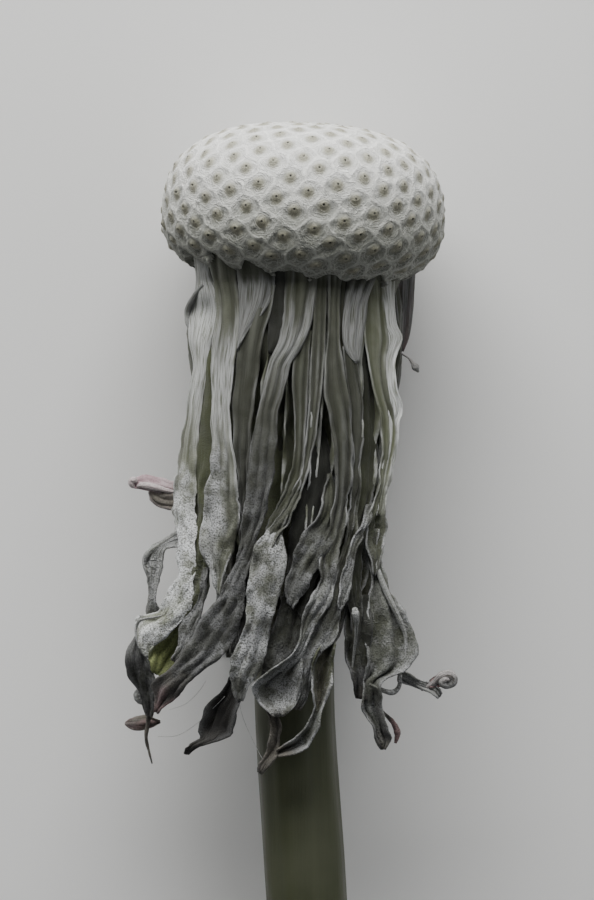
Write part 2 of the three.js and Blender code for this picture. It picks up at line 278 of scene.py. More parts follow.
# Angles down the profile that share out the dome's surface evenly.
def evenProfileAngles(count):
    slices = 2000
    areas = [0.0]
    for number in range(1, slices + 1):
        fromRadius, fromY = domeProfile((number - 1) / slices * math.pi)
        toRadius, toY = domeProfile(number / slices * math.pi)
        areas.append(areas[-1] + math.hypot(toRadius - fromRadius, toY - fromY) * (fromRadius + toRadius))
    angles = []
    number = 1
    for index in range(count):
        wanted = (index + 0.5) / count * areas[-1]
        while areas[number] < wanted:
            number += 1
        part = (wanted - areas[number - 1]) / (areas[number] - areas[number - 1])
        angles.append((number - 1 + part) / slices * math.pi)
    return angles


def domeNormal(point):
    height, power = domeHalf(point.y)
    power -= 1
    radius = max(math.hypot(point.x, point.z), 1e-6)
    outward = (radius / receptacle["radius"]) ** power / receptacle["radius"]
    upward = (abs(point.y) / height) ** power / height
    x, z = point.x / radius * outward, point.z / radius * outward
    return Vector((x, math.copysign(upward, point.y), z)).normalized()


# How large the dome would be that passes through a point: 1 on the skin, less inside.
def domeSize(point):
    height, power = domeHalf(point.y)
    radius = math.hypot(point.x, point.z)
    return ((radius / receptacle["radius"]) ** power + (abs(point.y) / height) ** power) ** (1 / power)


# The two ways along the skin at a point: round the stem's axis, and up towards the crown.
def alongSkin(point):
    normal = domeNormal(point)
    across = Vector((0, 1, 0)).cross(normal).normalized()
    return across, normal.cross(across)


def scarCentres():
    scars = []
    for index, angle in enumerate(evenProfileAngles(receptacle["scars"])):
        radius, y = domeProfile(angle)
        turn = index * goldenAngle
        scar = Vector((radius * math.sin(turn), y, radius * math.cos(turn)))
        stray = Vector([noise.noise(scar * 0.9 + Vector((axis * 13.7, 0, 0))) for axis in range(3)])
        scars.append(scar + stray * receptacle["uneven"])
    return scars


def isPitted(scar):
    rise = receptacle["leftRise"] * smoothStep(-scar.x, *receptacle["leftReach"])
    return scar.y >= receptacle["lowestScar"] + rise + 0.12 * noise.noise(scar * 0.9)


# Triples of neighbouring scars, from a hull on a sphere, where they lie equally evenly.
def neighbouringScars():
    count = receptacle["scars"]
    points = []
    for index in range(count):
        height = 1 - 2 * (index + 0.5) / count
        radius = math.sqrt(1 - height * height)
        turn = index * goldenAngle
        points.append((radius * math.sin(turn), height, radius * math.cos(turn)))
    mesh = bpy.data.meshes.new("scarHull")
    mesh.from_pydata(points, [], [])
    hull = bpy.data.objects.new("scarHull", mesh)
    bpy.context.collection.objects.link(hull)
    makeActive(hull)
    bpy.ops.object.mode_set(mode="EDIT")
    bpy.ops.mesh.select_all(action="SELECT")
    bpy.ops.mesh.convex_hull(join_triangles=False)
    bpy.ops.object.mode_set(mode="OBJECT")
    triples = [tuple(face.vertices) for face in mesh.polygons]
    bpy.data.objects.remove(hull)
    return triples


# One many-sided cell round each scar, with a point more in the middle of each side.
def cellMesh(scars):
    points = []
    corners = [[] for _ in scars]
    for number, triple in enumerate(neighbouringScars()):
        points.append(sum((scars[scar] for scar in triple), Vector()) / 3)
        for scar in triple:
            corners[scar].append(number)
    middles = {}
    cells = []
    for scar, ring in zip(scars, corners):
        if not isPitted(scar):
            continue
        normal = domeNormal(scar)
        across = Vector((0, 0, 1)).cross(normal).normalized()
        along = normal.cross(across)
        offsets = {corner: points[corner] - scar for corner in ring}
        ring = sorted(ring, key=lambda c: math.atan2(offsets[c].dot(along), offsets[c].dot(across)))
        cell = []
        for corner, following in zip(ring, ring[1:] + ring[:1]):
            side = (min(corner, following), max(corner, following))
            if side not in middles:
                middles[side] = len(points)
                points.append((points[corner] + points[following]) / 2)
            cell += [corner, middles[side]]
        cells.append(cell)
    mesh = bpy.data.meshes.new("receptacleSkin")
    mesh.from_pydata([point * mm for point in points], [], cells)
    return mesh


# Rounds the selected cell floors and shifts them towards the crown.
def shapeCells(mesh, rounding, shift):
    skin = bmesh.from_edit_mesh(mesh)
    for face in skin.faces:
        if not face.select:
            continue
        face.normal_update()
        centre = face.calc_center_median()
        upward = Vector((0, 1, 0)) - face.normal * face.normal.y
        reach = sum((corner.co - centre).length for corner in face.verts) / len(face.verts)
        for corner in face.verts:
            offset = corner.co - centre
            offset = offset.lerp(offset.normalized() * reach, rounding)
            corner.co = centre + offset + upward * shift * mm
    bmesh.update_edit_mesh(mesh)


# The ragged lower rim: the skin's border droops in lips, turns in, and closes the underside.
def closeUnderside(mesh):
    for reach, rise, ragged in receptacle["rimTurns"]:
        bpy.ops.mesh.select_mode(type="EDGE")
        bpy.ops.mesh.select_all(action="DESELECT")
        bpy.ops.mesh.select_non_manifold()
        bpy.ops.mesh.extrude_edges_move()
        skin = bmesh.from_edit_mesh(mesh)
        for corner in [vert for vert in skin.verts if vert.select]:
            turn = math.atan2(corner.co.x, corner.co.z)
            droop = noiseAt(turn * 7, corner.co.y / mm, 4) + 0.5 * noiseAt(turn * 23, 1, 2)
            corner.co.x *= reach
            corner.co.z *= reach
            corner.co.y += (rise + ragged * droop) * mm
        bmesh.update_edit_mesh(mesh)
    bpy.ops.mesh.edge_face_add()
    bpy.ops.mesh.select_mode(type="FACE")


# How far the skin stands out, from the distances to its cone's tip and to its cell's border.
def pitHeight(fromTip, toBorder, towardsRim):
    look = receptacle
    depth, inner, outer = look["mouth"]
    bowl = mixed(*look["bowl"], towardsRim) * smoothStep(toBorder, *look["bowlBorder"])
    cone = mixed(*look["cone"], towardsRim) * (1 - smoothStep(fromTip, 0.0, look["coneRadius"]))
    mouth = depth * (1 - smoothStep(fromTip, inner, outer))
    net = mixed(*look["net"], towardsRim) * math.exp(-(toBorder / look["netWidth"]) ** 2)
    return net + cone - bowl - mouth


# Sharp crests between soft hollows, as in crushed tissue.
def ridged(point):
    return 0.5 - abs(noise.noise(point * 2.3)) * 1.6 + 0.35 - abs(noise.noise(point * 5.2)) * 0.9


# Sculpts the skin: pits and cones, a crinkled net between them, and the flat where it rests.
# Gives back the lowest points of its rim.
def sculptSkin(mesh, scars):
    look = receptacle
    finder = KDTree(len(scars))
    for number, scar in enumerate(scars):
        finder.insert(scar, number)
    finder.balance()
    tips = []
    for scar in scars:
        across, upward = alongSkin(scar)
        tip = scar + upward * mixed(*look["tip"], smoothStep(scar.y, *look["crownToRim"]))
        tips.append((tip + across * 0.05 * noise.noise(scar * 3.0), across, upward))
    restPoint = Vector((0, 0, -look["radius"]))
    flat = [corner.co / mm for corner in mesh.vertices]
    onSkin = [domeSize(point) > skinShare for point in flat]
    flat = [point / domeSize(point) if near else point for point, near in zip(flat, onSkin)]
    uv = mesh.uv_layers.new(name="scar")
    for face in mesh.polygons:
        middle = sum((flat[corner] for corner in face.vertices), Vector()) / len(face.vertices)
        _, number, _ = finder.find(middle)
        tip, across, upward = tips[number]
        lost = Vector((0, 0)) if isPitted(scars[number]) else Vector(offScars)
        for loop in face.loop_indices:
            offset = flat[mesh.loops[loop].vertex_index] - tip
            uv.data[loop].uv = Vector((offset.dot(across), offset.dot(upward))) + lost
    borders = []
    rim = {}
    for corner, point, near in zip(mesh.vertices, flat, onSkin):
        place = round(math.atan2(point.x, point.z) * 12)
        if near and (place not in rim or point.y < rim[place].y):
            rim[place] = point
        (_, number, nearest), (_, _, second) = finder.find_n(point, 2)
        toBorder = (second - nearest) / 2
        borders.append(toBorder)
        if near:
            towardsRim = smoothStep(point.y, *look["crownToRim"])
            fromTip = (point - tips[number][0]).length
            height = pitHeight(fromTip, toBorder, towardsRim) if isPitted(scars[number]) else 0
            free = smoothStep(fromTip, 0.16, 0.36)
            height += free * mixed(*look["crinkle"], towardsRim) * ridged(point)
            height += 0.015 * noise.noise(point * 8.0)
            reach = look["restReach"]
            pressed = smoothStep((point - restPoint).length, reach * 0.6, reach)
            point = point + domeNormal(point) * height * mixed(0.3, 1.0, pressed)
        corner.co = leaning(*point)
        corner.co.z = max(corner.co.z, 0.0)
    setPointValues(mesh, "border", borders)
    mesh.update()
    ring = [rim[place] for place in sorted(rim)]
    # without points well below their neighbours, which belong to the underside
    threes = zip(ring[-1:] + ring[:-1], ring, ring[1:] + ring[:1])
    return [three[1] for three in threes if three[1].y > sorted(point.y for point in three)[1] - 0.1]


# Small crumpled flakes of felt along the rim, whose lowest points are given.
def makeTufts(rim):
    random = seededRandom(33)
    tufts = []
    deselectAll()
    bpy.ops.mesh.primitive_uv_sphere_add(segments=8, ring_count=5, radius=receptacle["tuftRadius"] * mm)
    first = bpy.context.object
    uv = first.data.uv_layers[0]
    uv.name = "scar"
    for loop in uv.data:
        loop.uv = offScars
    setPointValues(first.data, "border", [0.07] * len(first.data.vertices))
    for number in range(receptacle["tufts"]):
        tuft = first.copy()
        tuft.data = first.data.copy()
        bpy.context.collection.objects.link(tuft)
        rimPoint = rim[int(random() * len(rim))]
        middle = rimPoint + Vector((random() - 0.5, 1.2 - 1.5 * random(), random() - 0.5)) * 0.3
        size = (0.5 + 0.8 * random()) * (1 - 0.5 * smoothStep(abs(middle.x), 3.6, 5.2))
        long = 1.0 + 0.9 * random()
        outward = domeNormal(middle)
        across, upward = alongSkin(middle)
        upward = (upward + across * (random() - 0.5)).normalized()
        middle += outward * (0.03 + 0.08 * random())
        for corner in tuft.data.vertices:
            crumple = noise.noise(corner.co / mm * 11 + Vector((number, 0, 0)))
            spot = corner.co / mm * size * (1 + 1.1 * crumple)
            pointed = 1 + 2.5 * min(spot.y, 0)
            place = middle + across * spot.x * pointed + upward * spot.y * long + outward * spot.z * 0.5
            corner.co = leaning(*place)
        tufts.append(tuft)
    bpy.data.objects.remove(first)
    return tufts


# Thin bright creases, like those in crushed tissue.
def creases(material, spot, scale, width, bend):
    wander = put(material, "ShaderNodeTexNoise", {"Vector": spot, "Scale": scale * 0.7, "Detail": 2.0})
    inputs = {0: wander.outputs["Color"], 1: (bend,) * 3}
    bent = put(material, "ShaderNodeVectorMath", inputs, operation="MULTIPLY").outputs["Vector"]
    bent = put(material, "ShaderNodeVectorMath", {0: spot, 1: bent}, operation="ADD").outputs["Vector"]
    edge = put(material, "ShaderNodeTexVoronoi", {"Vector": bent, "Scale": scale},
               feature="DISTANCE_TO_EDGE").outputs["Distance"]
    faded = spread(material, noiseOf(material, spot, scale * 0.6, 2.0), 0.36, 0.6)
    return times(material, spread(material, edge, 0.0, width, 1.0, 0.0), faded)


def receptacleFinish():
    look = receptacle
    material = newMaterial("seedless white felt", 0.88, Sheen_Weight=0.1, Sheen_Roughness=0.6)
    spot = inMillimetres(material)
    scar = put(material, "ShaderNodeUVMap", uv_map="scar").outputs["UV"]
    fromTip = lengthOf(material, scar)
    border = pointValue(material, "border")
    towardsRim = spread(material, yOf(material, spot), *look["rimToCrown"], 1.0, 0.0)
    wobble = timesPlus(material, noiseOf(material, spot, 3.2), 0.2, -0.1)
    # the tint of a cone lies mostly below its tip: its own beige, and painted shadow under the cone
    loweredIntoShadow = put(material, "ShaderNodeVectorMath", {0: scar, 1: (0.0, 0.07, 0.0)}, operation="ADD")
    fromTint = lengthOf(material, loweredIntoShadow.outputs["Vector"])
    cone = spread(material, sums(material, "ADD", fromTint, wobble), 0.12, 0.42, 1.0, 0.0)
    hole = spread(material, fromTip, 0.035, 0.06, 1.0, 0.0)
    bowl = spread(material, sums(material, "ADD", border, wobble), 0.16, 0.42)
    net = spread(material, timesPlus(material, wobble, 0.8, border), 0.02, 0.09, 1.0, 0.0)

    large = creases(material, spot, 2.4, 0.07, 0.5)
    small = creases(material, spot, 5.2, 0.10, 0.3)
    grain = noiseOf(material, spot, 16.0, 5.0)
    offCone = spread(material, fromTip, 0.2, 0.36)
    threads = sums(material, "MAXIMUM", large, times(material, small, 0.7))
    threads = times(material, threads, offCone)
    # fine threads that wind round each cone
    wound = timesPlus(material, noiseOf(material, spot, 2.4, 3.0), 0.5, fromTip)
    wound = spread(material, sums(material, "SINE", times(material, wound, 54.0)), 0.1, 0.95)
    wound = times(material, wound, spread(material, fromTip, 0.15, 0.28))
    wound = times(material, wound, spread(material, noiseOf(material, spot, 1.9, 2.0), 0.4, 0.6))

    # painted shade: the tints darken from the crown towards the rim, over the rim's own greyer tone
    tint = blended(material, towardsRim, look["white"], look["rimWhiteWithShade"])
    cloudAndBowlShade = blended(material, towardsRim, look["cloudAndBowlShade"], look["rimCloudAndBowlShade"])
    thread = blended(material, towardsRim, look["thread"], look["rimThreadWithShade"])
    cloud = spread(material, noiseOf(material, spot, 1.1), 0.35, 0.75, 0.0, 0.35)
    tint = blended(material, cloud, tint, cloudAndBowlShade)
    # painted shade in the pits' bowls, stronger towards the rim, over their greyer floors
    bowlShare = spread(material, towardsRim, 0.05, 0.6, 0.24, 0.8)
    tint = blended(material, times(material, bowl, bowlShare), tint, cloudAndBowlShade)
    for kind, share in ((net, 0.6), (wound, 0.5), (threads, 0.8)):
        tint = blended(material, times(material, kind, share), tint, thread)
    coneTint = blended(material, spread(material, grain, 0.4, 0.62), look["coneTint"], look["coneLight"])
    coneShare = spread(material, towardsRim, 0.0, 0.3, 0.82, 0.78)
    tint = blended(material, times(material, cone, coneShare), tint, coneTint)
    tint = blended(material, hole, tint, look["hole"])
    toShader(material, "Base Color", tint)

    relief = timesPlus(material, net, 0.5, threads)
    relief = timesPlus(material, wound, 0.55, times(material, relief, 0.4))
    relief = timesPlus(material, grain, 0.6, relief)
    addBump(material, relief, 0.06, 1.0)
    toShader(material, "Roughness", spread(material, grain, 0.3, 0.7, 0.8, 0.95))
    return material


def makeReceptacle():
    scars = scarCentres()
    mesh = cellMesh(scars)
    piece = bpy.data.objects.new("receptacleFelt", mesh)
    bpy.context.collection.objects.link(piece)
    makeActive(piece)
    bpy.ops.object.mode_set(mode="EDIT")
    bpy.ops.mesh.select_mode(type="FACE")
    bpy.ops.mesh.select_all(action="SELECT")
    for inset, rounding, shift in receptacle["rings"]:
        bpy.ops.mesh.inset(use_individual=True, thickness=inset * mm, depth=0.0)
        shapeCells(mesh, rounding, shift)
    closeUnderside(mesh)
    bpy.ops.object.mode_set(mode="OBJECT")
    piece.modifiers.new("round", "SUBSURF").levels = 1
    applyAll(piece)
    rim = sculptSkin(mesh, scars)
    frill = joined(makeTufts(rim), "receptacleFrill")
    felt = receptacleFinish()
    finishPiece(piece, felt, "receptacle")
    finishPiece(frill, felt, "receptacle")
    print("receptacle:", len(piece.data.polygons) + len(frill.data.polygons), "faces")


# A withered leaf is a thin grid laid in place. Each of its points has a tone, which says how olive,
# downy, dry and pale it is, and its UV map holds the share across and the millimetres along.
never = (5, 6)  # for a change along a leaf that starts beyond its tip
allOver = (-0.5, -0.1)  # for one that is complete before its root
leastHeight = 0.08  # of a leaf's middle layer over the surface
leastRadius = 0.008  # of a strand
leafLook = {
    "thickness": 0.11,
    "olive": 0.1,
    "downSide": 0,  # -1 where only its left half has down, 1 where only its right half has
    "down": (0.6, 0.75),  # shares of the length where the pale down starts and where it is full
    "dry": (0.93, 1.05),
    "root": 0.0,  # how far it is white from its root
    "white": (9.0, 9.5),  # another white stretch, in shares of its length
    "hollow": (9.0, 9.5, 0.0),  # where its middle is darkened with the dry tint as painted shade, and how dark
    "blush": 0,  # how pink it is where it is dry
    "light": (1.0, 1.0, 1.0),  # painted light and shade, partly its own tone: how much its tint is brightened or darkened at its root, its middle and its tip
    "seed": 1,
}


def leafTone(look, side, share, length):
    rim = abs(side) ** 3
    patch = noiseAt(length * 0.35, side * 0.5, look["seed"] * 7.7)
    olive = max(look["olive"] + patch * 0.3 - 0.25 * rim, 0.0)
    flake = noiseAt(length * 1.7, side * 2.2, look["seed"] * 2.3)
    down = smoothStep(share + patch * 0.08 + flake * 0.1, *look["down"])
    if look["downSide"]:
        down *= smoothStep(side * look["downSide"] + flake * 0.5, -0.5, 0.2)
    dry = smoothStep(share + patch * 0.03, *look["dry"])
    low, high = look["white"]
    streak = share + 0.14 * noiseAt(length * 0.25, side * 3.5, look["seed"] * 1.7)
    white = smoothStep(streak, low - 0.08, low + 0.05) * (1 - smoothStep(streak, high - 0.05, high + 0.12))
    rooted = smoothStep(share, look["root"] * 1.7, look["root"] * 0.3) if look["root"] else 0.0
    pale = max(rooted, white)
    # painted shade in a hollow, laid on with the dry tint
    low, high, amount = look["hollow"]
    hollow = smoothStep(share, low - 0.04, low + 0.04) * (1 - smoothStep(share, high - 0.05, high + 0.03))
    dry = max(dry, hollow * amount * (1 - abs(side) ** 3))
    dry *= 1 + look["blush"] * (0.6 + noiseAt(length * 0.7, side * 1.5, look["seed"] * 4.9))
    down = down * min(max(0.85 + 0.8 * noiseAt(length * 0.8, side, look["seed"] * 3.3), 0.0), 1.0)
    return [olive, down, dry, pale]


# Gives a leaf's mesh the values that its finish reads, among them its painted light and shade.
def setFinishValues(mesh, tones, crests, lights, places):
    mesh.attributes.new("tone", "FLOAT_COLOR", "POINT").data.foreach_set("color", tones)
    setPointValues(mesh, "crest", crests)
    setPointValues(mesh, "light", lights)
    uv = mesh.uv_layers[0]
    uv.name = "blade"
    for loop in mesh.loops:
        uv.data[loop.index].uv = places[loop.vertex_index]
    mesh.update()


# Lays a grid whose point at a column and row is spots[row][column], in metres.
def layLeaf(name, look, spots, lengths, crests=None):
    columns, rows = len(spots[0]) - 1, len(spots) - 1
    deselectAll()
    bpy.ops.mesh.primitive_grid_add(x_subdivisions=columns, y_subdivisions=rows, size=2)
    leaf = bpy.context.object
    leaf.name = name
    places, tones, heights, lights, thicknesses = [], [], [], [], []
    for corner in leaf.data.vertices:
        column = round((corner.co.x + 1) / 2 * columns)
        row = round((corner.co.y + 1) / 2 * rows)
        corner.co = spots[row][column]
        corner.co.z = max(corner.co.z, leastHeight * mm)
        side = column / columns * 2 - 1
        places.append((column / columns, lengths[row]))
        tones += leafTone(look, side, row / rows, lengths[row])
        heights.append(crests[row][column] if crests else 0.5)
        # painted light and shade along the leaf, a factor on its tint
        lights.append(alongBlade(look["light"], row / rows))
        thicknesses.append(1.0 - 0.6 * side ** 4)
    thin = leaf.vertex_groups.new(name="thin")
    for number, share in enumerate(thicknesses):
        thin.add([number], share, "REPLACE")
    setFinishValues(leaf.data, tones, heights, lights, places)
    wall = leaf.modifiers.new("wall", "SOLIDIFY")
    wall.thickness = look["thickness"] * mm
    wall.offset = 0.0
    wall.vertex_group = "thin"
    wall.thickness_vertex_group = 0.3
    applyAll(leaf)
    leaf.vertex_groups.clear()
    return leaf


def cubicStep(values, spans, part):
    before, start, end, after = values
    first, middle, last = spans
    leave = (start - before) / first - (end - before) / (first + middle) + (end - start) / middle
    arrive = (end - start) / middle - (after - start) / (middle + last) + (after - end) / last
    leave, arrive = leave * middle, arrive * middle
    square = -3 * start + 3 * end - 2 * leave - arrive
    cube = 2 * start - 2 * end + leave + arrive
    return start + part * (leave + part * (square + part * cube))


# A smooth curve through stations, on the same kind of curve as the solids' routes. The first so
# many numbers of a station are its place.
def smoothAt(stations, share, placeCount):
    spot = share * (len(stations) - 1)
    first = min(int(spot), len(stations) - 2)
    start, end = stations[first], stations[first + 1]
    before = stations[first - 1] if first else [2 * a - b for a, b in zip(start, end)]
    after = stations[first + 2] if first + 2 < len(stations) else [2 * b - a for a, b in zip(start, end)]
    four = (before, start, end, after)
    spans = [max(math.dist(a[:placeCount], b[:placeCount]) ** 0.5, 1e-3) for a, b in zip(four, four[1:])]
    return [cubicStep(values, spans, spot - first) for values in zip(*four)], first, spot - first


# Shares of a curve that lie evenly along it, and the length up to each.
def evenShares(placeAt, count):
    fine = 300
    points = [placeAt(step / fine) for step in range(fine + 1)]
    lengths = [0.0]
    for near, far in zip(points, points[1:]):
        lengths.append(lengths[-1] + math.dist(near, far))
    shares = []
    step = 1
    for row in range(count + 1):
        wanted = lengths[-1] * row / count
        while step < fine and lengths[step] < wanted:
            step += 1
        part = (wanted - lengths[step - 1]) / (lengths[step] - lengths[step - 1])
        shares.append(((step - 1 + part) / fine, wanted))
    return shares


# Leaves behind and below follow a route, as the solids do.
bladeLook = {
    **leafLook,
    "across": 10,
    "along": 50,
    "curl": (0.7, 1.5, 0.5),  # how far the margins roll in, in radians, at root, middle and tip
    "wave": 0.1,
    "waveLength": 2.2,
    "crumple": 0.06,
}


def bearingAt(station):
    return math.atan2(station[0], station[2]) if len(station) < 5 else math.radians(station[4])


def routeAt(route, share):
    values, first, part = smoothAt([station[:4] for station in route], share, 3)
    bearing = mixed(bearingAt(route[first]), bearingAt(route[first + 1]), part)
    return Vector(values[:3]), max(values[3], 0.15), bearing


def alongBlade(values, share):
    root, middle, tip = values
    return mixed(root, middle, share * 2) if share < 0.5 else mixed(middle, tip, share * 2 - 1)


# A blade's section: how the strip turns from edge to edge, scaled to the width that shows.
def bladeSection(look, width, share, length):
    curl = alongBlade(look["curl"], share)
    points = [Vector((0.0, 0.0))]
    for step in range(look["across"]):
        side = (step + 0.5) / look["across"] * 2 - 1
        phase = look["seed"] * 1.7 + (1.9 if side > 0 else 0.0)
        ruffle = math.sin(2 * math.pi * length / look["waveLength"] + phase)
        angle = curl * side + look["wave"] * 6 * ruffle * side * abs(side) * smoothStep(share, 0.1, 0.7)
        points.append(points[-1] + Vector((math.cos(angle), math.sin(angle))))
    lowest, highest = min(point.x for point in points), max(point.x for point in points)
    middle = Vector(((lowest + highest) / 2, sum(point.y for point in points) / len(points)))
    return [(point - middle) * width / (highest - lowest) for point in points]


def addBlade(name, route, **changes):
    look = {**bladeLook, **changes}
    spots, lengths = [], []
    for share, length in evenShares(lambda share: routeAt(route, share)[0], look["along"]):
        point, width, bearing = routeAt(route, share)
        ahead = routeAt(route, min(share + 0.004, 1.0))[0] - routeAt(route, max(share - 0.004, 0.0))[0]
        ahead.normalize()
        across = ahead.cross(Vector((math.sin(bearing), 0, math.cos(bearing)))).normalized()
        outward = across.cross(ahead)
        row = []
        for column, offset in enumerate(bladeSection(look, width, share, length)):
            side = column / look["across"] * 2 - 1
            lift = noiseAt(length * 0.7, side * 0.8, look["seed"] * 3.1) * 1.6
            lift += noiseAt(length * 2.1, side * 2.2, look["seed"] * 5.3) * 0.7
            rise = offset.y + lift * look["crumple"] * min(width, 1.4)
            spot = point + across * offset.x + outward * rise
            row.append(placed(*spot))
        spots.append(row)
        lengths.append(length)
    return layLeaf(name, look, spots, lengths)


# Leaves in front are laid between their two edges, in steps of a working sketch: x runs to the
# right and y down.
sketchMiddle = (303, 220)  # where the dome's middle is in it
sketchStep = 12.0 / 280
skirtBelly = [  # y, half width, height over the axis
    (-1.4, 4.8, 4.7), (-2.6, 4.45, 3.95), (-5.0, 4.75, 4.1), (-9.0, 4.85, 4.2), (-13.0, 5.1, 4.15),
    (-16.0, 6.0, 4.3), (-19.0, 7.2, 4.2), (-22.5, 7.6, 3.4), (-25.0, 7.6, 3.0),
]
skirtMiddle = -0.4
skirtRoundness = 1.9

panelLook = {
    **leafLook,
    "across": 18,
    "rowLength": 0.17,
    "fewestRows": 12,
    "layer": 0.0,  # how far outside the skirt's belly it lies
    "rootLayer": None,  # the same at its root, if it differs
    "height": None,  # or a fixed height over the axis, at its root and its tip
    "camber": 0.12,
    "ribs": (3, 0.05),
    "lips": (0.08, 0.08),  # how far its left and right margins turn up
    "tilt": 0.0,  # how much higher its right margin lies than its left
    "wave": 0.07,
    "waveLength": 1.7,
    "crumple": 0.06,
    "folds": 0.26,  # how deep the creases are in the lower half of the skirt
    "twist": 0.5,  # how far it turns about its length there
    "ragged": 0.09,
    # how far below the widest ring each of the next three starts and is full
    "withersAt": (6.0, 12.0),
    "foldsAt": (9.0, 13.0),
    "twistsAt": (9.5, 14.0),
}


# The skirt's half width and its height over the axis, at a height y.
def bellyAt(y):
    if y >= skirtBelly[0][0]:
        return skirtBelly[0][1:]
    for above, below in zip(skirtBelly, skirtBelly[1:]):
        if y >= below[0]:
            part = (above[0] - y) / (above[0] - below[0])
            return mixed(above[1], below[1], part), mixed(above[2], below[2], part)
    return skirtBelly[-1][1:]


def skirtAt(x, y):
    halfWidth, depth = bellyAt(y)
    reach = min(abs(x - skirtMiddle) / halfWidth, 0.985)
    height = depth * (1 - reach ** skirtRoundness) ** (1 / skirtRoundness)
    outward = Vector(((x - skirtMiddle) / halfWidth ** 2, 0, height / depth ** 2)).normalized()
    return height, outward


def panelSpot(look, edges, side, share, length):
    left, right = Vector(edges[:2]), Vector(edges[2:4])
    seed = look["seed"]
    flat = left.lerp(right, (side + 1) / 2)
    width = (right - left).length * sketchStep
    y = -(flat.y - sketchMiddle[1]) * sketchStep
    withered = mixed(0.25, 1.0, smoothStep(-y, *look["withersAt"]))
    end = 1.0 if side > 0 else -1.0
    rag = noiseAt(length * 1.3, end, seed * 2.9)
    rag += 0.7 * noiseAt(length * 4.1, 2 * end, seed * 3.7) * withered
    rag *= look["ragged"] * side ** 2 * withered
    x = (flat.x - sketchMiddle[0]) * sketchStep + rag * end
    height, outward = skirtAt(x, y)
    if look["height"]:
        height, outward = mixed(*look["height"], share), Vector((0, 0, 1))
    count, rise = look["ribs"]
    drift = noiseAt(length * 0.25, side * 0.8, seed * 1.3) * 2.6
    wavy = 0.5 + 0.5 * math.cos(math.pi * count * side + drift)
    sharp = 1 - abs(math.sin(math.pi * count * side / 2 + drift / 2))
    crest = (0.7 * wavy + 0.3 * sharp) * (0.75 + 0.9 * noiseAt(length * 0.35, side * 2.2, seed * 4.1))
    crest = min(max(crest, 0.0), 1.0)
    lift = edges[4] * (1 - side * side) * min(width, 1.5)
    lift += 2 * rise * (crest - 0.4) * min(width, 1.2)
    lip = (look["lips"][1] if side > 0 else look["lips"][0]) * mixed(0.25, 1.0, smoothStep(-y, 3.0, 8.0))
    lift += lip * smoothStep(abs(side), 0.62, 1.0)
    phase = seed * 1.7 + (1.9 if side > 0 else 0.0)
    ruffle = math.sin(2 * math.pi * length / look["waveLength"] + phase)
    lift += look["wave"] * ruffle * side * side * withered
    lift += look["tilt"] * side / 2
    crumple = noiseAt(length * 0.8, side * width * 0.8, seed * 3.1)
    crumple += noiseAt(length * 2.3, side * width * 2.3, seed * 5.3) * 0.6
    lift += look["crumple"] * crumple * mixed(0.6, 1.0, withered)
    creased = 0.3 - abs(noiseAt(length * 0.9 + side, side * width * 1.3, seed * 1.9))
    creased += 0.4 * (0.3 - abs(noiseAt(length * 2.4, side * width * 2.9, seed * 6.1)))
    lift += look["folds"] * creased * smoothStep(-y, *look["foldsAt"])
    root = look["layer"] if look["rootLayer"] is None else look["rootLayer"]
    layer = mixed(root, look["layer"], smoothStep(share, 0.0, 0.2))
    lift += layer * mixed(0.3, 1.0, smoothStep(-y, 3.0, 8.5))
    twist = look["twist"] * noiseAt(length * 0.3, seed * 7.3, 0)
    lift += twist * side * min(width, 1.2) * smoothStep(-y, *look["twistsAt"])
    return placed(x, y, height) + outward * lift * mm, crest


# A row is the x of the left and right edge, y, how much lower the right edge lies, and the camber.
def edgeStation(look, left, right, y, fall=0, camber=None):
    return [left, y, right, y + fall, look["camber"] if camber is None else camber]


def addPanel(name, rows, **changes):
    look = {**panelLook, **changes}
    stations = [edgeStation(look, *row) for row in rows]

    def middleAt(share):
        values = smoothAt(stations, share, 4)[0]
        return [(values[0] + values[2]) / 2 * sketchStep, (values[1] + values[3]) / 2 * sketchStep]

    span = sum(math.dist(middleAt(step / 20), middleAt((step + 1) / 20)) for step in range(20))
    spots, crests, lengths = [], [], []
    rowCount = max(round(span / look["rowLength"]), look["fewestRows"])
    for share, length in evenShares(middleAt, rowCount):
        edges = smoothAt(stations, share, 4)[0]
        sides = [column / look["across"] * 2 - 1 for column in range(look["across"] + 1)]
        row = [panelSpot(look, edges, side, share, length) for side in sides]
        spots.append([spot for spot, crest in row])
        crests.append([crest for spot, crest in row])
        lengths.append(length)
    return layLeaf(name, look, spots, lengths, crests)


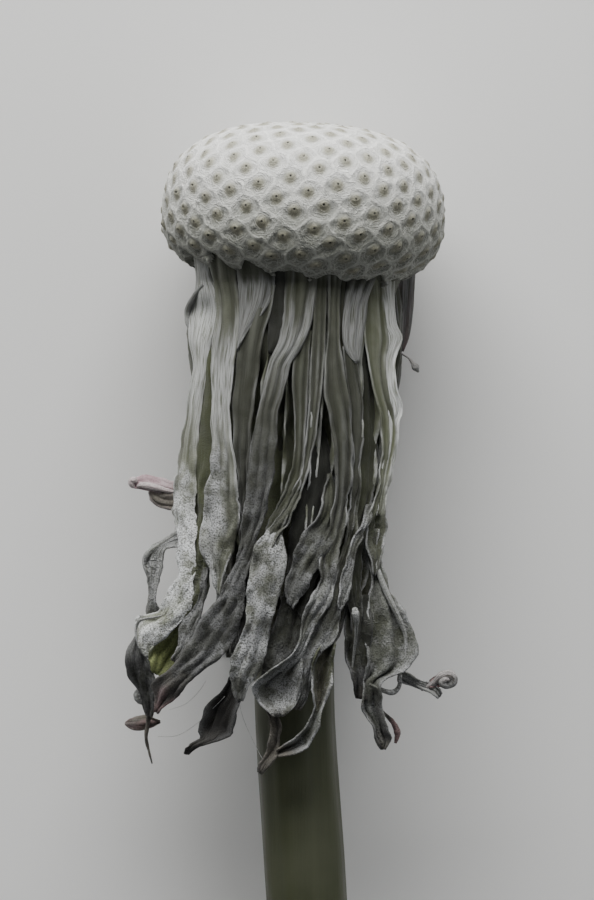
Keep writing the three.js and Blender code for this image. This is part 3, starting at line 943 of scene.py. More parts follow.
# A thin rolled strand along points (x and y in the sketch, height over the axis, radius in mm).
def addStrand(name, points, **changes):
    look = {**leafLook, "sides": 10, **changes}
    stations = [[(x - sketchMiddle[0]) * sketchStep, -(y - sketchMiddle[1]) * sketchStep, z, radius]
                for x, y, z, radius in points]
    deselectAll()
    rings = len(stations) * 6
    bpy.ops.mesh.primitive_cylinder_add(vertices=look["sides"], radius=mm, depth=mm, end_fill_type="TRIFAN")
    strand = bpy.context.object
    strand.name = name
    bpy.ops.object.mode_set(mode="EDIT")
    bpy.ops.mesh.select_all(action="DESELECT")
    skin = bmesh.from_edit_mesh(strand.data)
    sideEdges = [edge for edge in skin.edges if abs(edge.verts[0].co.z - edge.verts[1].co.z) > 0.5 * mm]
    bmesh.ops.subdivide_edges(skin, edges=sideEdges, cuts=rings - 1, use_grid_fill=True)
    bmesh.update_edit_mesh(strand.data)
    bpy.ops.object.mode_set(mode="OBJECT")
    tones, places = [], []
    for corner in strand.data.vertices:
        share = min(max(corner.co.z / mm + 0.5, 0.0), 1.0)
        values = smoothAt(stations, share, 3)[0]
        ahead = Vector(smoothAt(stations, min(share + 0.01, 1.0), 3)[0][:3])
        ahead -= Vector(smoothAt(stations, max(share - 0.01, 0.0), 3)[0][:3])
        turned = ahead.to_track_quat("Z", "Y")
        radius = max(values[3], leastRadius) * (1 + 0.25 * noiseAt(share * 9, look["seed"], 0))
        offset = turned @ Vector((corner.co.x / mm, corner.co.y / mm, 0)) * radius
        places.append((math.atan2(corner.co.y, corner.co.x) / 6.3 + 0.5, share * 3))
        corner.co = placed(*(Vector(values[:3]) + offset))
        tones += leafTone(look, 0.5, share, share * 3)
    count = len(strand.data.vertices)
    # a strand takes the painted light and shade of its middle
    setFinishValues(strand.data, tones, [0.8] * count, [look["light"][1]] * count, places)
    return strand


def bladeFinish(name, colours, roughness=0.82):
    material = newMaterial(name, roughness, Sheen_Weight=0.1, Sheen_Roughness=0.5)
    spot = inMillimetres(material)
    uv = put(material, "ShaderNodeUVMap", uv_map="blade").outputs["UV"]
    parts = put(material, "ShaderNodeSeparateXYZ", {"Vector": uv})
    across, along = parts.outputs["X"], parts.outputs["Y"]
    tone = put(material, "ShaderNodeAttribute", attribute_name="tone")
    amounts = put(material, "ShaderNodeSeparateColor", {"Color": tone.outputs["Color"]})
    olive, down, dry = amounts.outputs["Red"], amounts.outputs["Green"], amounts.outputs["Blue"]
    pale = tone.outputs["Alpha"]
    crest = pointValue(material, "crest")

    # streaks that follow the blade
    stretched = put(material, "ShaderNodeCombineXYZ", {
        "X": times(material, across, 7.0), "Y": times(material, along, 0.22)})
    streaks = noiseOf(material, stretched.outputs["Vector"], 1.6, 5.0, 0.3)
    fineStreaks = noiseOf(material, stretched.outputs["Vector"], 4.5, 3.0)
    side = sums(material, "ABSOLUTE", timesPlus(material, across, 2.0, -1.0))
    margin = spread(material, timesPlus(material, streaks, 0.3, side), 0.96, 1.12)
    margin = times(material, margin, spread(material, noiseOf(material, spot, 0.7), 0.38, 0.62))
    y = yOf(material, spot)
    margin = times(material, margin, spread(material, y, 5.0, 12.0, 0.9, 0.35))

    blotch = noiseOf(material, spot, 1.3, 4.0)
    speck = noiseOf(material, spot, 15.0, 4.0)
    grit = noiseOf(material, spot, 18.0, 4.0)
    # thin wrinkles where it has withered
    wrinkle = sums(material, "ADD", noiseOf(material, spot, 1.9, 3.0, 0.4), -0.5)
    wrinkle = sums(material, "ABSOLUTE", wrinkle)
    wrinkle = spread(material, wrinkle, 0.0, 0.05, 1.0, 0.0)
    wrinkle = times(material, wrinkle, spread(material, y, 3.0, 7.5, 1.0, 0.0))
    patchy = noiseOf(material, spot, 0.55, 2.0)
    wrinkle = times(material, wrinkle, spread(material, patchy, 0.42, 0.62))

    # painted light and shade: lighter on the ribs' crests and darker in the furrows between them, over the
    # leaf's own streaks; the pale on the highest crests is a painted highlight
    raised = timesPlus(material, crest, 0.55, times(material, streaks, 0.6))
    tint = blended(material, spread(material, raised, 0.25, 0.8), colours["furrowShadeAndBlotch"], colours["rib"])
    ridge = times(material, spread(material, crest, 0.7, 1.0), spread(material, blotch, 0.35, 0.6))
    tint = blended(material, times(material, ridge, 0.35), tint, colours["margin"])
    tint = blended(material, spread(material, blotch, 0.35, 0.75, 0.0, 0.4), tint, colours["furrowShadeAndBlotch"])
    oliveShare = times(material, olive, spread(material, blotch, 0.3, 0.6, 0.6, 1.0))
    # painted shade: darker towards the lower end of the skirt, where the light falls off
    tint = blended(material, spread(material, y, 1.0, 8.0, 0.45, 0.0), tint, colours["furrowShadeAndBlotch"])
    tint = blended(material, oliveShare, tint, colours["olive"])
    tint = blended(material, spread(material, olive, 1.1, 2.0), tint, colours["fresh"])
    tint = blended(material, margin, tint, colours["margin"])
    tint = blended(material, times(material, wrinkle, 0.18), tint, colours["margin"])
    downTint = blended(material, spread(material, speck, 0.34, 0.52), colours["speck"], colours["down"])
    dark = spread(material, blotch, 0.44, 0.6, 0.0, 0.75)
    downTint = blended(material, dark, downTint, colours["furrowShadeAndBlotch"])
    tint = blended(material, times(material, down, 0.85), tint, downTint)
    dryTint = blended(material, spread(material, blotch, 0.4, 0.62), colours["dry"], colours["dryPale"])
    dryTint = blended(material, spread(material, dry, 1.1, 1.8), dryTint, colours["blush"])
    tint = blended(material, spread(material, dry, 0.0, 1.0, 0.0, 0.9), tint, dryTint)
    lined = spread(material, fineStreaks, 0.42, 0.68)
    paleTint = blended(material, lined, colours["margin"], colours["rib"])
    tint = blended(material, times(material, pale, 0.75), tint, paleTint)
    # painted light and shade: the tint times the leaf's light value
    light = pointValue(material, "light")
    # speckled in its lower half
    lower = spread(material, y, 4.0, 9.0, 1.0, 0.0)
    mottled = times(material, lower, spread(material, speck, 0.36, 0.6, -0.24, 0.32))
    light = times(material, light, sums(material, "ADD", mottled, 1.0))
    tint = blended(material, 1.0, tint, light, "MULTIPLY")
    toShader(material, "Base Color", tint)

    relief = timesPlus(material, streaks, 0.8, times(material, fineStreaks, 0.3))
    relief = timesPlus(material, times(material, speck, down), 1.6, relief)
    relief = timesPlus(material, grit, 0.5, relief)
    relief = timesPlus(material, wrinkle, 0.55, relief)
    addBump(material, relief, 0.07, 0.8)
    toShader(material, "Roughness", spread(material, blotch, 0.3, 0.7, roughness - 0.1, roughness + 0.08))
    return material


# The inner bracts are the long ones that hang as a skirt. The tables of their leaves follow.
innerBracts = {
    "rootY": -3.05,
    "rootTuck": 0.75,  # how far the roots run up under the dome's rim
    "backingDrop": 0.75,  # how far the backing leaves lie inside those in front
    "rootColumns": 200,
    "rootLevels": [
        -1.3, -1.8, -2.3, -2.8, -3.3, -3.8, -4.3, -4.9, -5.5, -6.1, -6.8, -7.5, -8.2, -9.0, -9.8,
    ],
    "hiddenLength": (15, 1.2),  # of a leaf round the back: the least, and how much more at most
    "hiddenRadius": 3.9,
    "hidden": [  # round the back: degrees from the front, and how far the tip stands out
        (-151, 2.8), (151, 2.8), (-172, 1.0), (172, 1.2), (-126, 0.6), (122, 0.5), (-104, 0.3), (101, 0.3),
        (-83, 0.1), (80, 0.1),
    ],
    "colours": {
        "rib": (0.092, 0.096, 0.075),
        # a dark tint for painted shade in furrows and low on the skirt, and for dark blotches
        "furrowShadeAndBlotch": (0.038, 0.040, 0.027),
        "olive": (0.056, 0.064, 0.026),
        "fresh": (0.22, 0.25, 0.10),  # where it is still green
        "margin": (0.33, 0.335, 0.335),
        "down": (0.26, 0.265, 0.27),
        "speck": (0.098, 0.101, 0.093),
        "dry": (0.032, 0.027, 0.021),
        "dryPale": (0.11, 0.10, 0.083),
        "blush": (0.26, 0.16, 0.16),
    },
}

# Leaves in front, from root to tip. A later one may lie over an earlier one. Their light values are painted
# light and shade, partly their own tone: brighter where light falls, darker where they lie in shade.
frontLeaves = {
    "leftStrap": dict(
        seed=2, light=(1.5, 2.3, 2.5), layer=0.1, ribs=(1.4, 0.04), lips=(0.08, -0.1), twist=0.1,
        wave=0.03, crumple=0.03, down=(0.5, 0.64), dry=never, white=(0.03, 0.36),
        rows=[
            (195, 209, 248), (198, 213, 280), (196, 218, 292, 1), (189, 219, 306, 1, -0.15),
            (187, 218, 315, 2, -0.15), (190, 216, 327, 3, 0.0), (192, 212, 342, 3), (197, 209, 364, 1),
            (195, 207, 380), (192, 204, 398), (190, 202, 416), (187, 200, 438), (183, 199, 460),
            (179, 198, 483, 1), (178, 198, 505, 1), (179, 199, 522, 1), (181, 199, 537, 4),
            (182, 198, 555, 1), (180, 197, 573, 1), (175, 196, 586, 2), (169, 193, 598, 4),
            (162, 187, 608, 5), (152, 178, 613, 10), (141, 170, 616, 16), (137, 160, 626, 15),
            (139, 152, 638, 9), (144, 148, 650, 5)
        ]),
    "oliveBand": dict(
        seed=3, light=(1.0, 0.85, 0.6), layer=-0.15, rootLayer=-0.5, ribs=(2, 0.03), olive=0.9,
        down=never, dry=never,
        rows=[
            (208, 214, 315, 1), (204, 216, 334), (200, 219, 352), (198, 220, 375), (195, 220, 400),
            (192, 221, 430), (190, 221, 460), (189, 218, 490), (190, 215, 520), (192, 213, 545),
            (194, 211, 565), (194, 209, 580, 2), (190, 206, 596, 2), (186, 200, 610, 2),
            (183, 194, 622, 2), (180, 185, 632, 1)
        ]),
    "secondStrap": dict(
        seed=4, light=(1.4, 1.5, 1.3), layer=0.2, ribs=(2.6, 0.07), down=(0.55, 0.66), downSide=-1,
        dry=never, white=(0.27, 0.5),
        rows=[
            (209, 237, 248), (216, 239, 280), (219, 241, 300), (219, 242, 322), (216, 240, 345),
            (215, 238, 362), (216, 236, 382), (217, 234, 405), (216, 235, 425), (218, 237, 445),
            (218, 239, 458), (215, 240, 472, 3), (213, 241, 492, 3), (211, 242, 512, 3), (209, 239, 532),
            (209, 234, 548), (213, 229, 562), (217, 226, 574, 1), (221, 223, 589, 1)
        ]),
    "thirdStrap": dict(
        seed=5, light=(1.2, 0.12, 0.22), ribs=(2.2, 0.06), lips=(0.12, 0.15), wave=0.08,
        down=(0.65, 0.8), dry=(0.9, 0.97), hollow=(0.83, 0.97, 0.9),
        rows=[
            (240, 276, 285), (242, 272, 310), (242, 266, 330), (240, 262, 350), (238, 260, 370),
            (236, 257, 395), (236, 254, 420), (237, 252, 450), (240, 250, 475), (242, 251, 500),
            (243, 253, 520), (242, 253, 540), (243, 254, 565), (244, 256, 585, 3), (243, 256, 610, 8),
            (240, 254, 630, 10), (235, 250, 650, 10), (232, 249, 665, 10), (223, 244, 682, 8, -0.25),
            (208, 240, 698, 7, -0.4), (202, 236, 712, 6, -0.4), (199, 232, 725, 3, -0.3),
            (202, 222, 732, 1), (190, 200, 741), (185, 190, 748, 1)
        ]),
    "fanFlap": dict(
        seed=6, light=(0.75, 0.8, 0.9), layer=0.3, ribs=(2, 0.05), lips=(0.0, 0.14), down=never,
        dry=never, white=(0.25, 1.3),
        rows=[
            (238, 274, 258), (241, 276, 280), (242, 272, 300, -1), (242, 262, 320, -4),
            (241, 251, 337, -9), (240, 243, 350, -7)
        ]),
    "fourthStrap": dict(
        seed=7, light=(1.2, 0.42, 0.4), layer=0.3, ribs=(3, 0.07), lips=(0.12, 0.16), down=(0.2, 0.7),
        dry=(0.85, 1.0), white=(0.13, 0.22), blush=0.9,
        rows=[
            (284, 318, 256, 2), (284, 316, 285), (283, 313, 305), (282, 310, 322, 3), (279, 301, 342, 4),
            (271, 291, 361, 2), (268, 288, 375, 1), (265, 284, 392), (261, 280, 410, -2),
            (257, 279, 430), (253, 277, 455, -5), (250, 275, 478, -8), (249, 272, 500, -10),
            (246, 268, 520, -12), (243, 262, 540, -12), (238, 256, 560, -8), (230, 250, 578, -3),
            (226, 247, 590, 2), (214, 244, 605, 7), (204, 238, 620, 12), (194, 226, 636, 14),
            (184, 208, 652, 12), (174, 196, 665, 11), (160, 188, 678, 9), (161, 177, 690, 6),
            (162, 169, 700, 3), (163, 165, 707, 1)
        ]),
    "fifthStrap": dict(
        seed=8, light=(0.7, 0.75, 0.7), layer=0.12, ribs=(2, 0.06), lips=(0.1, 0.18), olive=0.35,
        down=never, dry=never,
        rows=[
            (299, 311, 330), (296, 309, 345), (293, 308, 365), (292, 307, 385), (294, 306, 405),
            (295, 305, 425), (294, 304, 447), (291, 302, 468, 2), (284, 297, 488, 2), (276, 290, 505, 3),
            (268, 284, 522, 2), (262, 278, 540, 2), (258, 271, 555, 3), (256, 265, 568, 3),
            (257, 260, 580, 1)
        ]),
    "centralDowny": dict(
        seed=9, light=(1.3, 1.3, 1.1), layer=0.5, rootLayer=-0.2, ribs=(2, 0.05), wave=0.1, crumple=0.09,
        down=allOver, dry=(1.0, 1.2),
        rows=[
            (276, 281, 505, 1), (270, 283, 522, 2), (259, 286, 541, 2), (255, 287, 558, 2),
            (253, 283, 577, 1), (251, 279, 593, 1), (252, 274, 608, 2), (248, 271, 622, 2),
            (241, 269, 638, 2), (237, 264, 653, 2), (235, 257, 668, 2), (236, 250, 680, 2),
            (240, 246, 692, 1)
        ]),
    "sixthStrap": dict(
        seed=10, light=(1.0, 0.8, 0.8), layer=0.3, ribs=(2, 0.06), lips=(0.1, 0.15), down=never,
        dry=never,
        rows=[
            (313, 327, 262), (313, 325, 300), (312, 324, 325), (310, 323, 348), (309, 321, 372),
            (308, 318, 395), (306, 315, 420), (304, 312, 440, 2), (303, 309, 455, 3), (300, 304, 472, 4),
            (292, 300, 488, 4), (286, 294, 502, 4), (278, 288, 514, 4), (270, 280, 526, 4),
            (266, 274, 539, 3), (263, 269, 552, 2), (262, 264, 562, 1)
        ]),
    "innerFace": dict(
        seed=11, light=(0.1, 0.12, 0.4), layer=-0.15, rootLayer=-1.3, olive=0.7, down=(0.6, 1.0),
        dry=never,
        rows=[
            (312, 328, 400), (306, 330, 425), (303, 331, 450), (300, 332, 475), (295, 331, 500),
            (290, 328, 525), (288, 322, 550), (286, 315, 575), (280, 305, 600), (272, 302, 625, 5),
            (266, 298, 645, 5), (263, 288, 658, 4), (263, 275, 670, 2), (265, 268, 679, 1)
        ]),
    "foldBlade": dict(
        seed=12, light=(0.6, 0.5, 0.5), layer=0.3, rootLayer=0.0, lips=(0.28, 0.05), wave=0.1, olive=0.4,
        down=(0.3, 0.6), dry=never,
        rows=[
            (326, 331, 470), (321, 336, 488), (316, 335, 508, 2), (305, 331, 524, 4), (298, 326, 538, 7),
            (293, 318, 552, 6), (289, 310, 566, 7), (287, 301, 582, 8), (288, 294, 596, 6)
        ]),
    "seventhStrap": dict(
        seed=13, light=(1.2, 0.55, 1.25), layer=0.4, ribs=(2.3, 0.06), lips=(0.18, 0.12), wave=0.09,
        dry=(0.96, 1.02), hollow=(0.86, 0.97, 0.2),
        rows=[
            (326, 341, 260), (326, 338, 290), (326, 337, 320), (324, 337, 345), (321, 340, 370, 2),
            (321, 343, 392, 3), (325, 345, 412, 6), (328, 346, 432, 8), (330, 346, 452, 8),
            (330, 345, 480, 3), (327, 342, 508, 2), (322, 337, 532, 2), (317, 333, 548, 4),
            (316, 332, 560, 6), (318, 331, 574, 6), (311, 328, 588, 6), (304, 321, 600, 6),
            (300, 312, 615, 6), (299, 306, 630, 5), (294, 303, 643, 5), (272, 302, 662, -2, -0.3),
            (256, 301, 676, -4, -0.45), (256, 300, 686, -2, -0.45), (261, 296, 695, 1, -0.3),
            (269, 290, 702), (274, 284, 708)
        ]),
    "eighthStrap": dict(
        seed=14, light=(0.75, 0.7, 0.6), layer=0.25, ribs=(1.7, 0.06), lips=(0.15, 0.1), wave=0.08,
        down=(0.65, 0.8),
        rows=[
            (340, 352, 345, 15), (341, 355, 370, 10), (344, 358, 395, 5), (346, 358, 425, 3),
            (348, 356, 455, 3), (347, 354, 480, 2), (345, 351, 508, 2), (341, 347, 535, 2),
            (335, 343, 560, 2), (330, 340, 580, 3), (324, 338, 595, 5), (316, 336, 610, 5),
            (309, 331, 628, 4), (303, 318, 645, 2), (300, 311, 662, 2), (299, 309, 677, 3),
            (297, 306, 690, 2), (290, 299, 700, 2)
        ]),
    "whiteFold": dict(
        seed=15, light=(0.85, 0.9, 0.9), layer=0.4, ribs=(3, 0.07), lips=(0.1, 0.15), down=never,
        dry=never, white=(0.15, 1.3),
        rows=[
            (345, 372, 280, -2), (342, 364, 305, -3), (340, 362, 322, -4), (340, 359, 340, -5),
            (344, 356, 353, -3), (351, 354, 362, -1)
        ]),
    "almondLeaf": dict(
        seed=16, layer=0.35, rootLayer=0.0, camber=-0.45, lips=(0.25, 0.3), wave=0.1, olive=0.8,
        down=(0.5, 0.7), dry=(0.8, 1.0), hollow=(0.1, 0.6, 0.6),
        rows=[
            (326, 330, 612, 1), (322, 331, 632, 2), (313, 331, 648, 2), (310, 330, 663, 3),
            (310, 327, 678, 4), (312, 323, 691, 5), (312, 319, 703, 4), (308, 316, 714, 5),
            (300, 312, 724, 7), (291, 305, 732, 8), (282, 292, 738, 8), (276, 281, 742, 6)
        ]),
    "darkTail": dict(
        seed=17, layer=0.35, camber=-0.2, wave=0.12, crumple=0.1, dry=allOver,
        rows=[
            (268, 279, 700, 6), (270, 281, 714, 2), (271, 281, 726, 3), (269, 280, 738, 3),
            (266, 275, 747, 4), (261, 268, 757, 4), (259, 263, 764, 3)
        ]),
    "downyStrip": dict(
        seed=18, light=(0.9, 0.9, 0.9), layer=0.4, rootLayer=0.0, lips=(0.18, 0.05), down=allOver,
        dry=never,
        rows=[
            (364, 370, 502, -2), (356, 366, 518, -4), (348, 357, 531, -1), (343, 351, 545, 1),
            (339, 349, 560, 2), (336, 346, 575, 3), (335, 343, 590, 2), (335, 339, 602, 2)
        ]),
    "oliveFurrow": dict(
        seed=19, light=(0.04, 0.58, 0.12), layer=-0.2, ribs=(2, 0.04), olive=0.8, down=never, dry=never,
        rows=[
            (352, 366, 300), (354, 366, 330), (354, 370, 360), (356, 374, 390), (357, 376, 420),
            (356, 377, 450), (354, 374, 480), (351, 370, 505), (347, 364, 530), (345, 362, 555),
            (346, 362, 580), (348, 362, 600), (350, 360, 620), (351, 357, 632, 2), (352, 354, 642, 1)
        ]),
    "ninthStrap": dict(
        seed=20, light=(1.55, 2.0, 0.5), layer=0.15, ribs=(2, 0.06), lips=(0.1, 0.2), olive=0.3,
        down=never, dry=never,
        rows=[
            (362, 378, 256), (362, 381, 315, 3), (361, 384, 335, 5), (363, 380, 355, 3),
            (366, 380, 375, 3), (370, 383, 395, 3), (374, 388, 415, 3), (376, 388, 435, 3),
            (376, 386, 452, 3), (374, 382, 472, 3), (371, 379, 490, 3), (367, 377, 505, 3),
            (362, 379, 516, 1, -0.2), (361, 380, 526, 2, -0.35), (361, 378, 538, 2, -0.3),
            (364, 375, 550, 1), (367, 373, 560, 2), (369, 371, 570, 1)
        ]),
    "rightStrap": dict(
        seed=21, light=(1.6, 2.9, 1.5), layer=0.15, ribs=(1, 0.05), lips=(0.05, 0.2), wave=0.02,
        down=never, dry=never, white=(0.1, 0.72),
        rows=[
            (376, 392, 256), (376, 391, 287), (377, 392, 308), (379, 393, 326, -1), (382, 398, 337),
            (381, 394, 347, 1), (379, 390, 358, 2), (379, 389, 372), (380, 390, 388),
            (383, 394, 402, -1), (383, 395, 412, -1), (382, 392, 420, -1), (381, 391, 435),
            (379, 388, 455, 1), (376, 384, 475, 1), (374, 379, 495, 1), (372, 378, 512, 1)
        ]),
    "rightLeaf": dict(
        seed=22, light=(1.0, 0.9, 0.7), rootLayer=-0.3, ribs=(2.4, 0.16), lips=(0.1, 0.3), wave=0.1,
        crumple=0.1, olive=0.4, down=(-0.6, 1.2), dry=(0.75, 1.1),
        rows=[
            (369, 373, 525), (370, 376, 546, 1), (370, 378, 565, 3), (370, 383, 583, 2),
            (368, 392, 602, 2), (366, 400, 620, 2), (366, 404, 637, 1), (366, 403, 652, 3),
            (366, 395, 664), (364, 377, 676, -1, -0.2), (361, 378, 690, 2, -0.3),
            (360, 378, 701, 1, -0.35), (366, 380, 711, 1, -0.35), (370, 383, 721, 1, -0.3),
            (371, 387, 731, 1, -0.2), (375, 386, 738), (379, 382, 743)
        ]),
    "rightWisp": dict(
        seed=23, light=(0.2, 0.3, 0.4), layer=-0.3, ribs=(2, 0.1), wave=0.15, olive=0.5, dry=(0.6, 1.0),
        rows=[
            (350, 370, 590), (346, 370, 610, 2), (343, 372, 630, 4), (346, 372, 648, 4),
            (349, 371, 662, 3), (353, 368, 678, 2), (357, 366, 692, 1)
        ]),
    "nodulePatch": dict(
        seed=39, light=(0.2, 0.21, 0.25), layer=-0.05, ribs=(1, 0.03), crumple=0.12, olive=0.25,
        down=never, dry=never,
        rows=[
            (266, 292, 256), (267, 291, 285), (269, 289, 310), (269, 286, 335, 3), (269, 276, 352, 2)
        ]),
    "furrowFloor": dict(
        seed=40, light=(0.6, 0.6, 0.6), layer=-0.05, olive=0.5, down=never, dry=never,
        rows=[
            (333, 350, 256), (334, 348, 290), (335, 347, 330), (337, 346, 370), (340, 344, 392, 2)
        ]),
    "leftFurrow": dict(
        seed=45, light=(0.5, 0.5, 0.5), layer=-0.15, olive=0.8, down=never, dry=never,
        rows=[
            (231, 248, 256), (233, 247, 290), (234, 246, 340), (232, 245, 390), (231, 245, 440),
            (233, 247, 490), (237, 247, 530), (240, 244, 550, 1)
        ]),
    "curledBlob": dict(
        seed=46, height=(2.0, 2.1), camber=0.1, lips=(0.2, 0.25), folds=0.4, down=never, dry=(-0.6, 0.2),
        blush=1.0,
        rows=[
            (428, 428, 684, -8), (435, 435, 683, -11), (443, 443, 682, -13), (450, 450, 680, -10),
            (454, 454, 677, -4)
        ]),
    "curlStrand": dict(
        seed=24, height=(2.2, 2.1), camber=-0.1, lips=(0.12, 0.12), down=never, dry=(0.5, 1.2),
        white=(-0.2, 1.3),
        rows=[
            (396, 398, 678, -14), (407, 407, 681, -12), (418, 419, 685, -9), (428, 429, 688, -9),
            (434, 438, 692, -8), (437, 441, 695, -5)
        ]),
    "leftLobe": dict(
        seed=25, light=(0.35, 0.3, 0.4), height=(2.1, 1.0), camber=0.15, lips=(0.05, 0.1), tilt=0.35,
        wave=0.1, crumple=0.14, olive=0.4, down=(-0.4, 0.7), dry=(0.7, 1.2), white=(-0.3, 0.35),
        rows=[
            (136, 142, 632, 16), (129, 149, 646, 9), (127, 153, 658, 5), (127, 155, 670, 5),
            (134, 157, 682, 6), (141, 158, 693, 7), (145, 156, 706, 2), (147, 153, 714, 1)
        ]),
    "olivePocket": dict(
        seed=26, light=(1.9, 1.9, 1.9), height=(2.2, 1.7), camber=-0.15, ribs=(3, 0.08), crumple=0.15,
        olive=1.5, down=never, dry=never,
        rows=[
            (178, 196, 612, -12), (167, 193, 626, -6), (157, 190, 639, -1), (150, 183, 650, 4),
            (149, 173, 661, 6), (152, 162, 669, 5)
        ]),
    "innerLeftBlade": dict(
        seed=27, light=(0.5, 0.5, 0.8), layer=0.1, rootLayer=-0.5, lips=(0.1, 0.18), down=(0.0, 0.4),
        rows=[
            (203, 208, 545), (204, 210, 566, 2), (204, 210, 585, 3), (198, 207, 602, 3),
            (191, 205, 612, 3), (186, 203, 622, 3), (184, 200, 633, 1), (182, 193, 645, 3),
            (176, 185, 655, 5)
        ]),
    "slenderLoop": dict(
        seed=28, height=(-0.3, -0.8), camber=0.05, lips=(-0.2, 0.1), tilt=0.4, twist=0.0, folds=0.1,
        crumple=0.1, down=allOver, white=(-0.2, 0.6),
        rows=[
            (186, 192, 523, 21), (178, 180, 530, 17), (165, 170, 539, 9), (152, 165, 548, 3),
            (143, 164, 556, 5), (143, 162, 567, 5), (146, 159, 580, 3), (149, 156, 592, 1),
            (148, 155, 603, -1), (146, 160, 614, -2), (151, 168, 628, -4)
        ]),
    "pinkTip": dict(
        seed=38, height=(0.2, -0.6), camber=0.3, dry=allOver, blush=0.6,
        rows=[
            (160, 160, 721, 2), (154, 153, 718, 9), (147, 147, 716, 13), (140, 139, 717, 14),
            (133, 132, 719, 12), (128, 127, 721, 8), (125, 125, 724, 3)
        ]),
    "brownBehind": dict(
        seed=29, height=(-0.8, -1.2), camber=0.1, lips=(0.0, 0.15), dry=(-0.8, 0.2), root=1.0, blush=0.8,
        rows=[
            (391, 416, 256), (393, 415, 285), (393, 414, 305), (394, 412, 325), (397, 409, 340),
            (400, 404, 350, 2)
        ]),
}

cobweb = dict(light=(2.2, 2.2, 2.2), root=5.0, sides=5)
strands = {
    "peg": dict(
        seed=31, root=5.0,
        points=[
            (351, 664, 3.7, 0.04), (353, 645, 3.9, 0.06), (355, 625, 4.4, 0.08), (355, 613, 4.7, 0.12),
            (354, 605, 4.8, 0.17), (353, 600, 4.8, 0.07)
        ]),
    "curledEnd": dict(
        seed=32, down=never, dry=allOver, root=5.0, blush=1.0,
        points=[
            (420, 686, 2.05, 0.08), (428, 682, 2.15, 0.12), (435, 677, 2.25, 0.15),
            (440, 672, 2.35, 0.19), (447, 670, 2.35, 0.21), (452, 674, 2.3, 0.2), (451, 679, 2.25, 0.18),
            (445, 681, 2.3, 0.17), (440, 678, 2.45, 0.15), (444, 675, 2.5, 0.12), (448, 676, 2.5, 0.05)
        ]),
    "pocketRim": dict(
        seed=48, root=5.0,
        points=[
            (204, 285, 2.25, 0.06), (198, 292, 1.95, 0.1), (192, 301, 1.45, 0.12),
            (188, 311, 1.05, 0.13), (188, 320, 1.1, 0.12), (191, 330, 1.3, 0.08), (193, 342, 1.4, 0.04)
        ]),
    "loopRim": dict(
        seed=49, root=5.0,
        points=[
            (187, 529, -0.4, 0.05), (178, 533, -0.4, 0.1), (166, 541, -0.45, 0.13),
            (154, 549, -0.5, 0.16), (147, 555, -0.5, 0.14), (145, 563, -0.6, 0.07),
            (146, 572, -0.75, 0.04)
        ]),
    "foldRim": dict(
        seed=50, root=5.0,
        points=[
            (163, 611, 3.2, 0.03), (150, 614, 2.8, 0.05), (141, 617, 2.5, 0.07), (138, 624, 2.4, 0.06),
            (138, 634, 2.4, 0.05), (141, 645, 2.4, 0.03)
        ]),
    "rolledRim": dict(
        seed=33, down=(-1.0, -0.5),
        points=[
            (368, 677, 3.9, 0.05), (380, 683, 3.7, 0.1), (391, 686, 3.4, 0.13), (397, 682, 3.1, 0.1),
            (399, 673, 2.8, 0.08), (398, 664, 2.5, 0.05)
        ]),
    "rightRim": dict(
        seed=47, root=5.0,
        points=[
            (374, 546, 3.3, 0.05), (376, 562, 3.5, 0.11), (382, 580, 3.6, 0.13), (390, 598, 3.65, 0.13),
            (398, 614, 3.55, 0.12), (404, 630, 3.45, 0.1), (404, 648, 3.4, 0.07), (402, 663, 3.3, 0.04)
        ]),
    "filament": dict(
        seed=34, dry=allOver, root=5.0, blush=0.6,
        points=[
            (389, 342, 1.2, 0.05), (395, 349, 0.9, 0.05), (402, 354, 0.8, 0.04), (408, 358, 0.8, 0.04),
            (412, 363, 0.8, 0.09), (415, 367, 0.8, 0.17), (418, 372, 0.8, 0.04)
        ]),
    "brownCurl": dict(
        seed=35, dry=(-0.5, 0.5), blush=0.5,
        points=[
            (378, 704, 1.9, 0.05), (387, 714, 1.5, 0.08), (393, 721, 1.3, 0.12), (397, 731, 1.3, 0.14),
            (395, 741, 1.3, 0.06)
        ]),
    "cobwebLeft": dict(
        seed=51, **cobweb,
        points=[
            (158, 736, 0.6, 0.009), (178, 733, 1.4, 0.009), (197, 720, 2.2, 0.009),
            (214, 703, 2.9, 0.009), (226, 690, 3.3, 0.009)
        ]),
    "cobwebHigh": dict(
        seed=52, **cobweb,
        points=[
            (170, 706, 2.2, 0.009), (186, 700, 2.3, 0.009), (199, 688, 2.6, 0.009),
            (207, 676, 3.0, 0.009)
        ]),
    "cobwebMiddle": dict(
        seed=53, **cobweb,
        points=[
            (238, 688, 3.4, 0.009), (244, 712, 3.2, 0.009), (254, 735, 3.2, 0.009),
            (263, 752, 3.4, 0.009)
        ]),
    "leftTail": dict(
        seed=36, dry=allOver,
        points=[
            (151, 706, 0.6, 0.14), (148, 722, 0.4, 0.1), (146, 738, 0.3, 0.08), (149, 752, 0.3, 0.06),
            (152, 764, 0.3, 0.03)
        ]),
    "leftKnob": dict(
        seed=37, root=5.0,
        points=[
            (145, 703, 0.8, 0.06), (141, 700, 1.0, 0.13), (138, 695, 1.1, 0.18), (139, 690, 1.1, 0.15),
            (141, 687, 1.1, 0.05)
        ]),
}

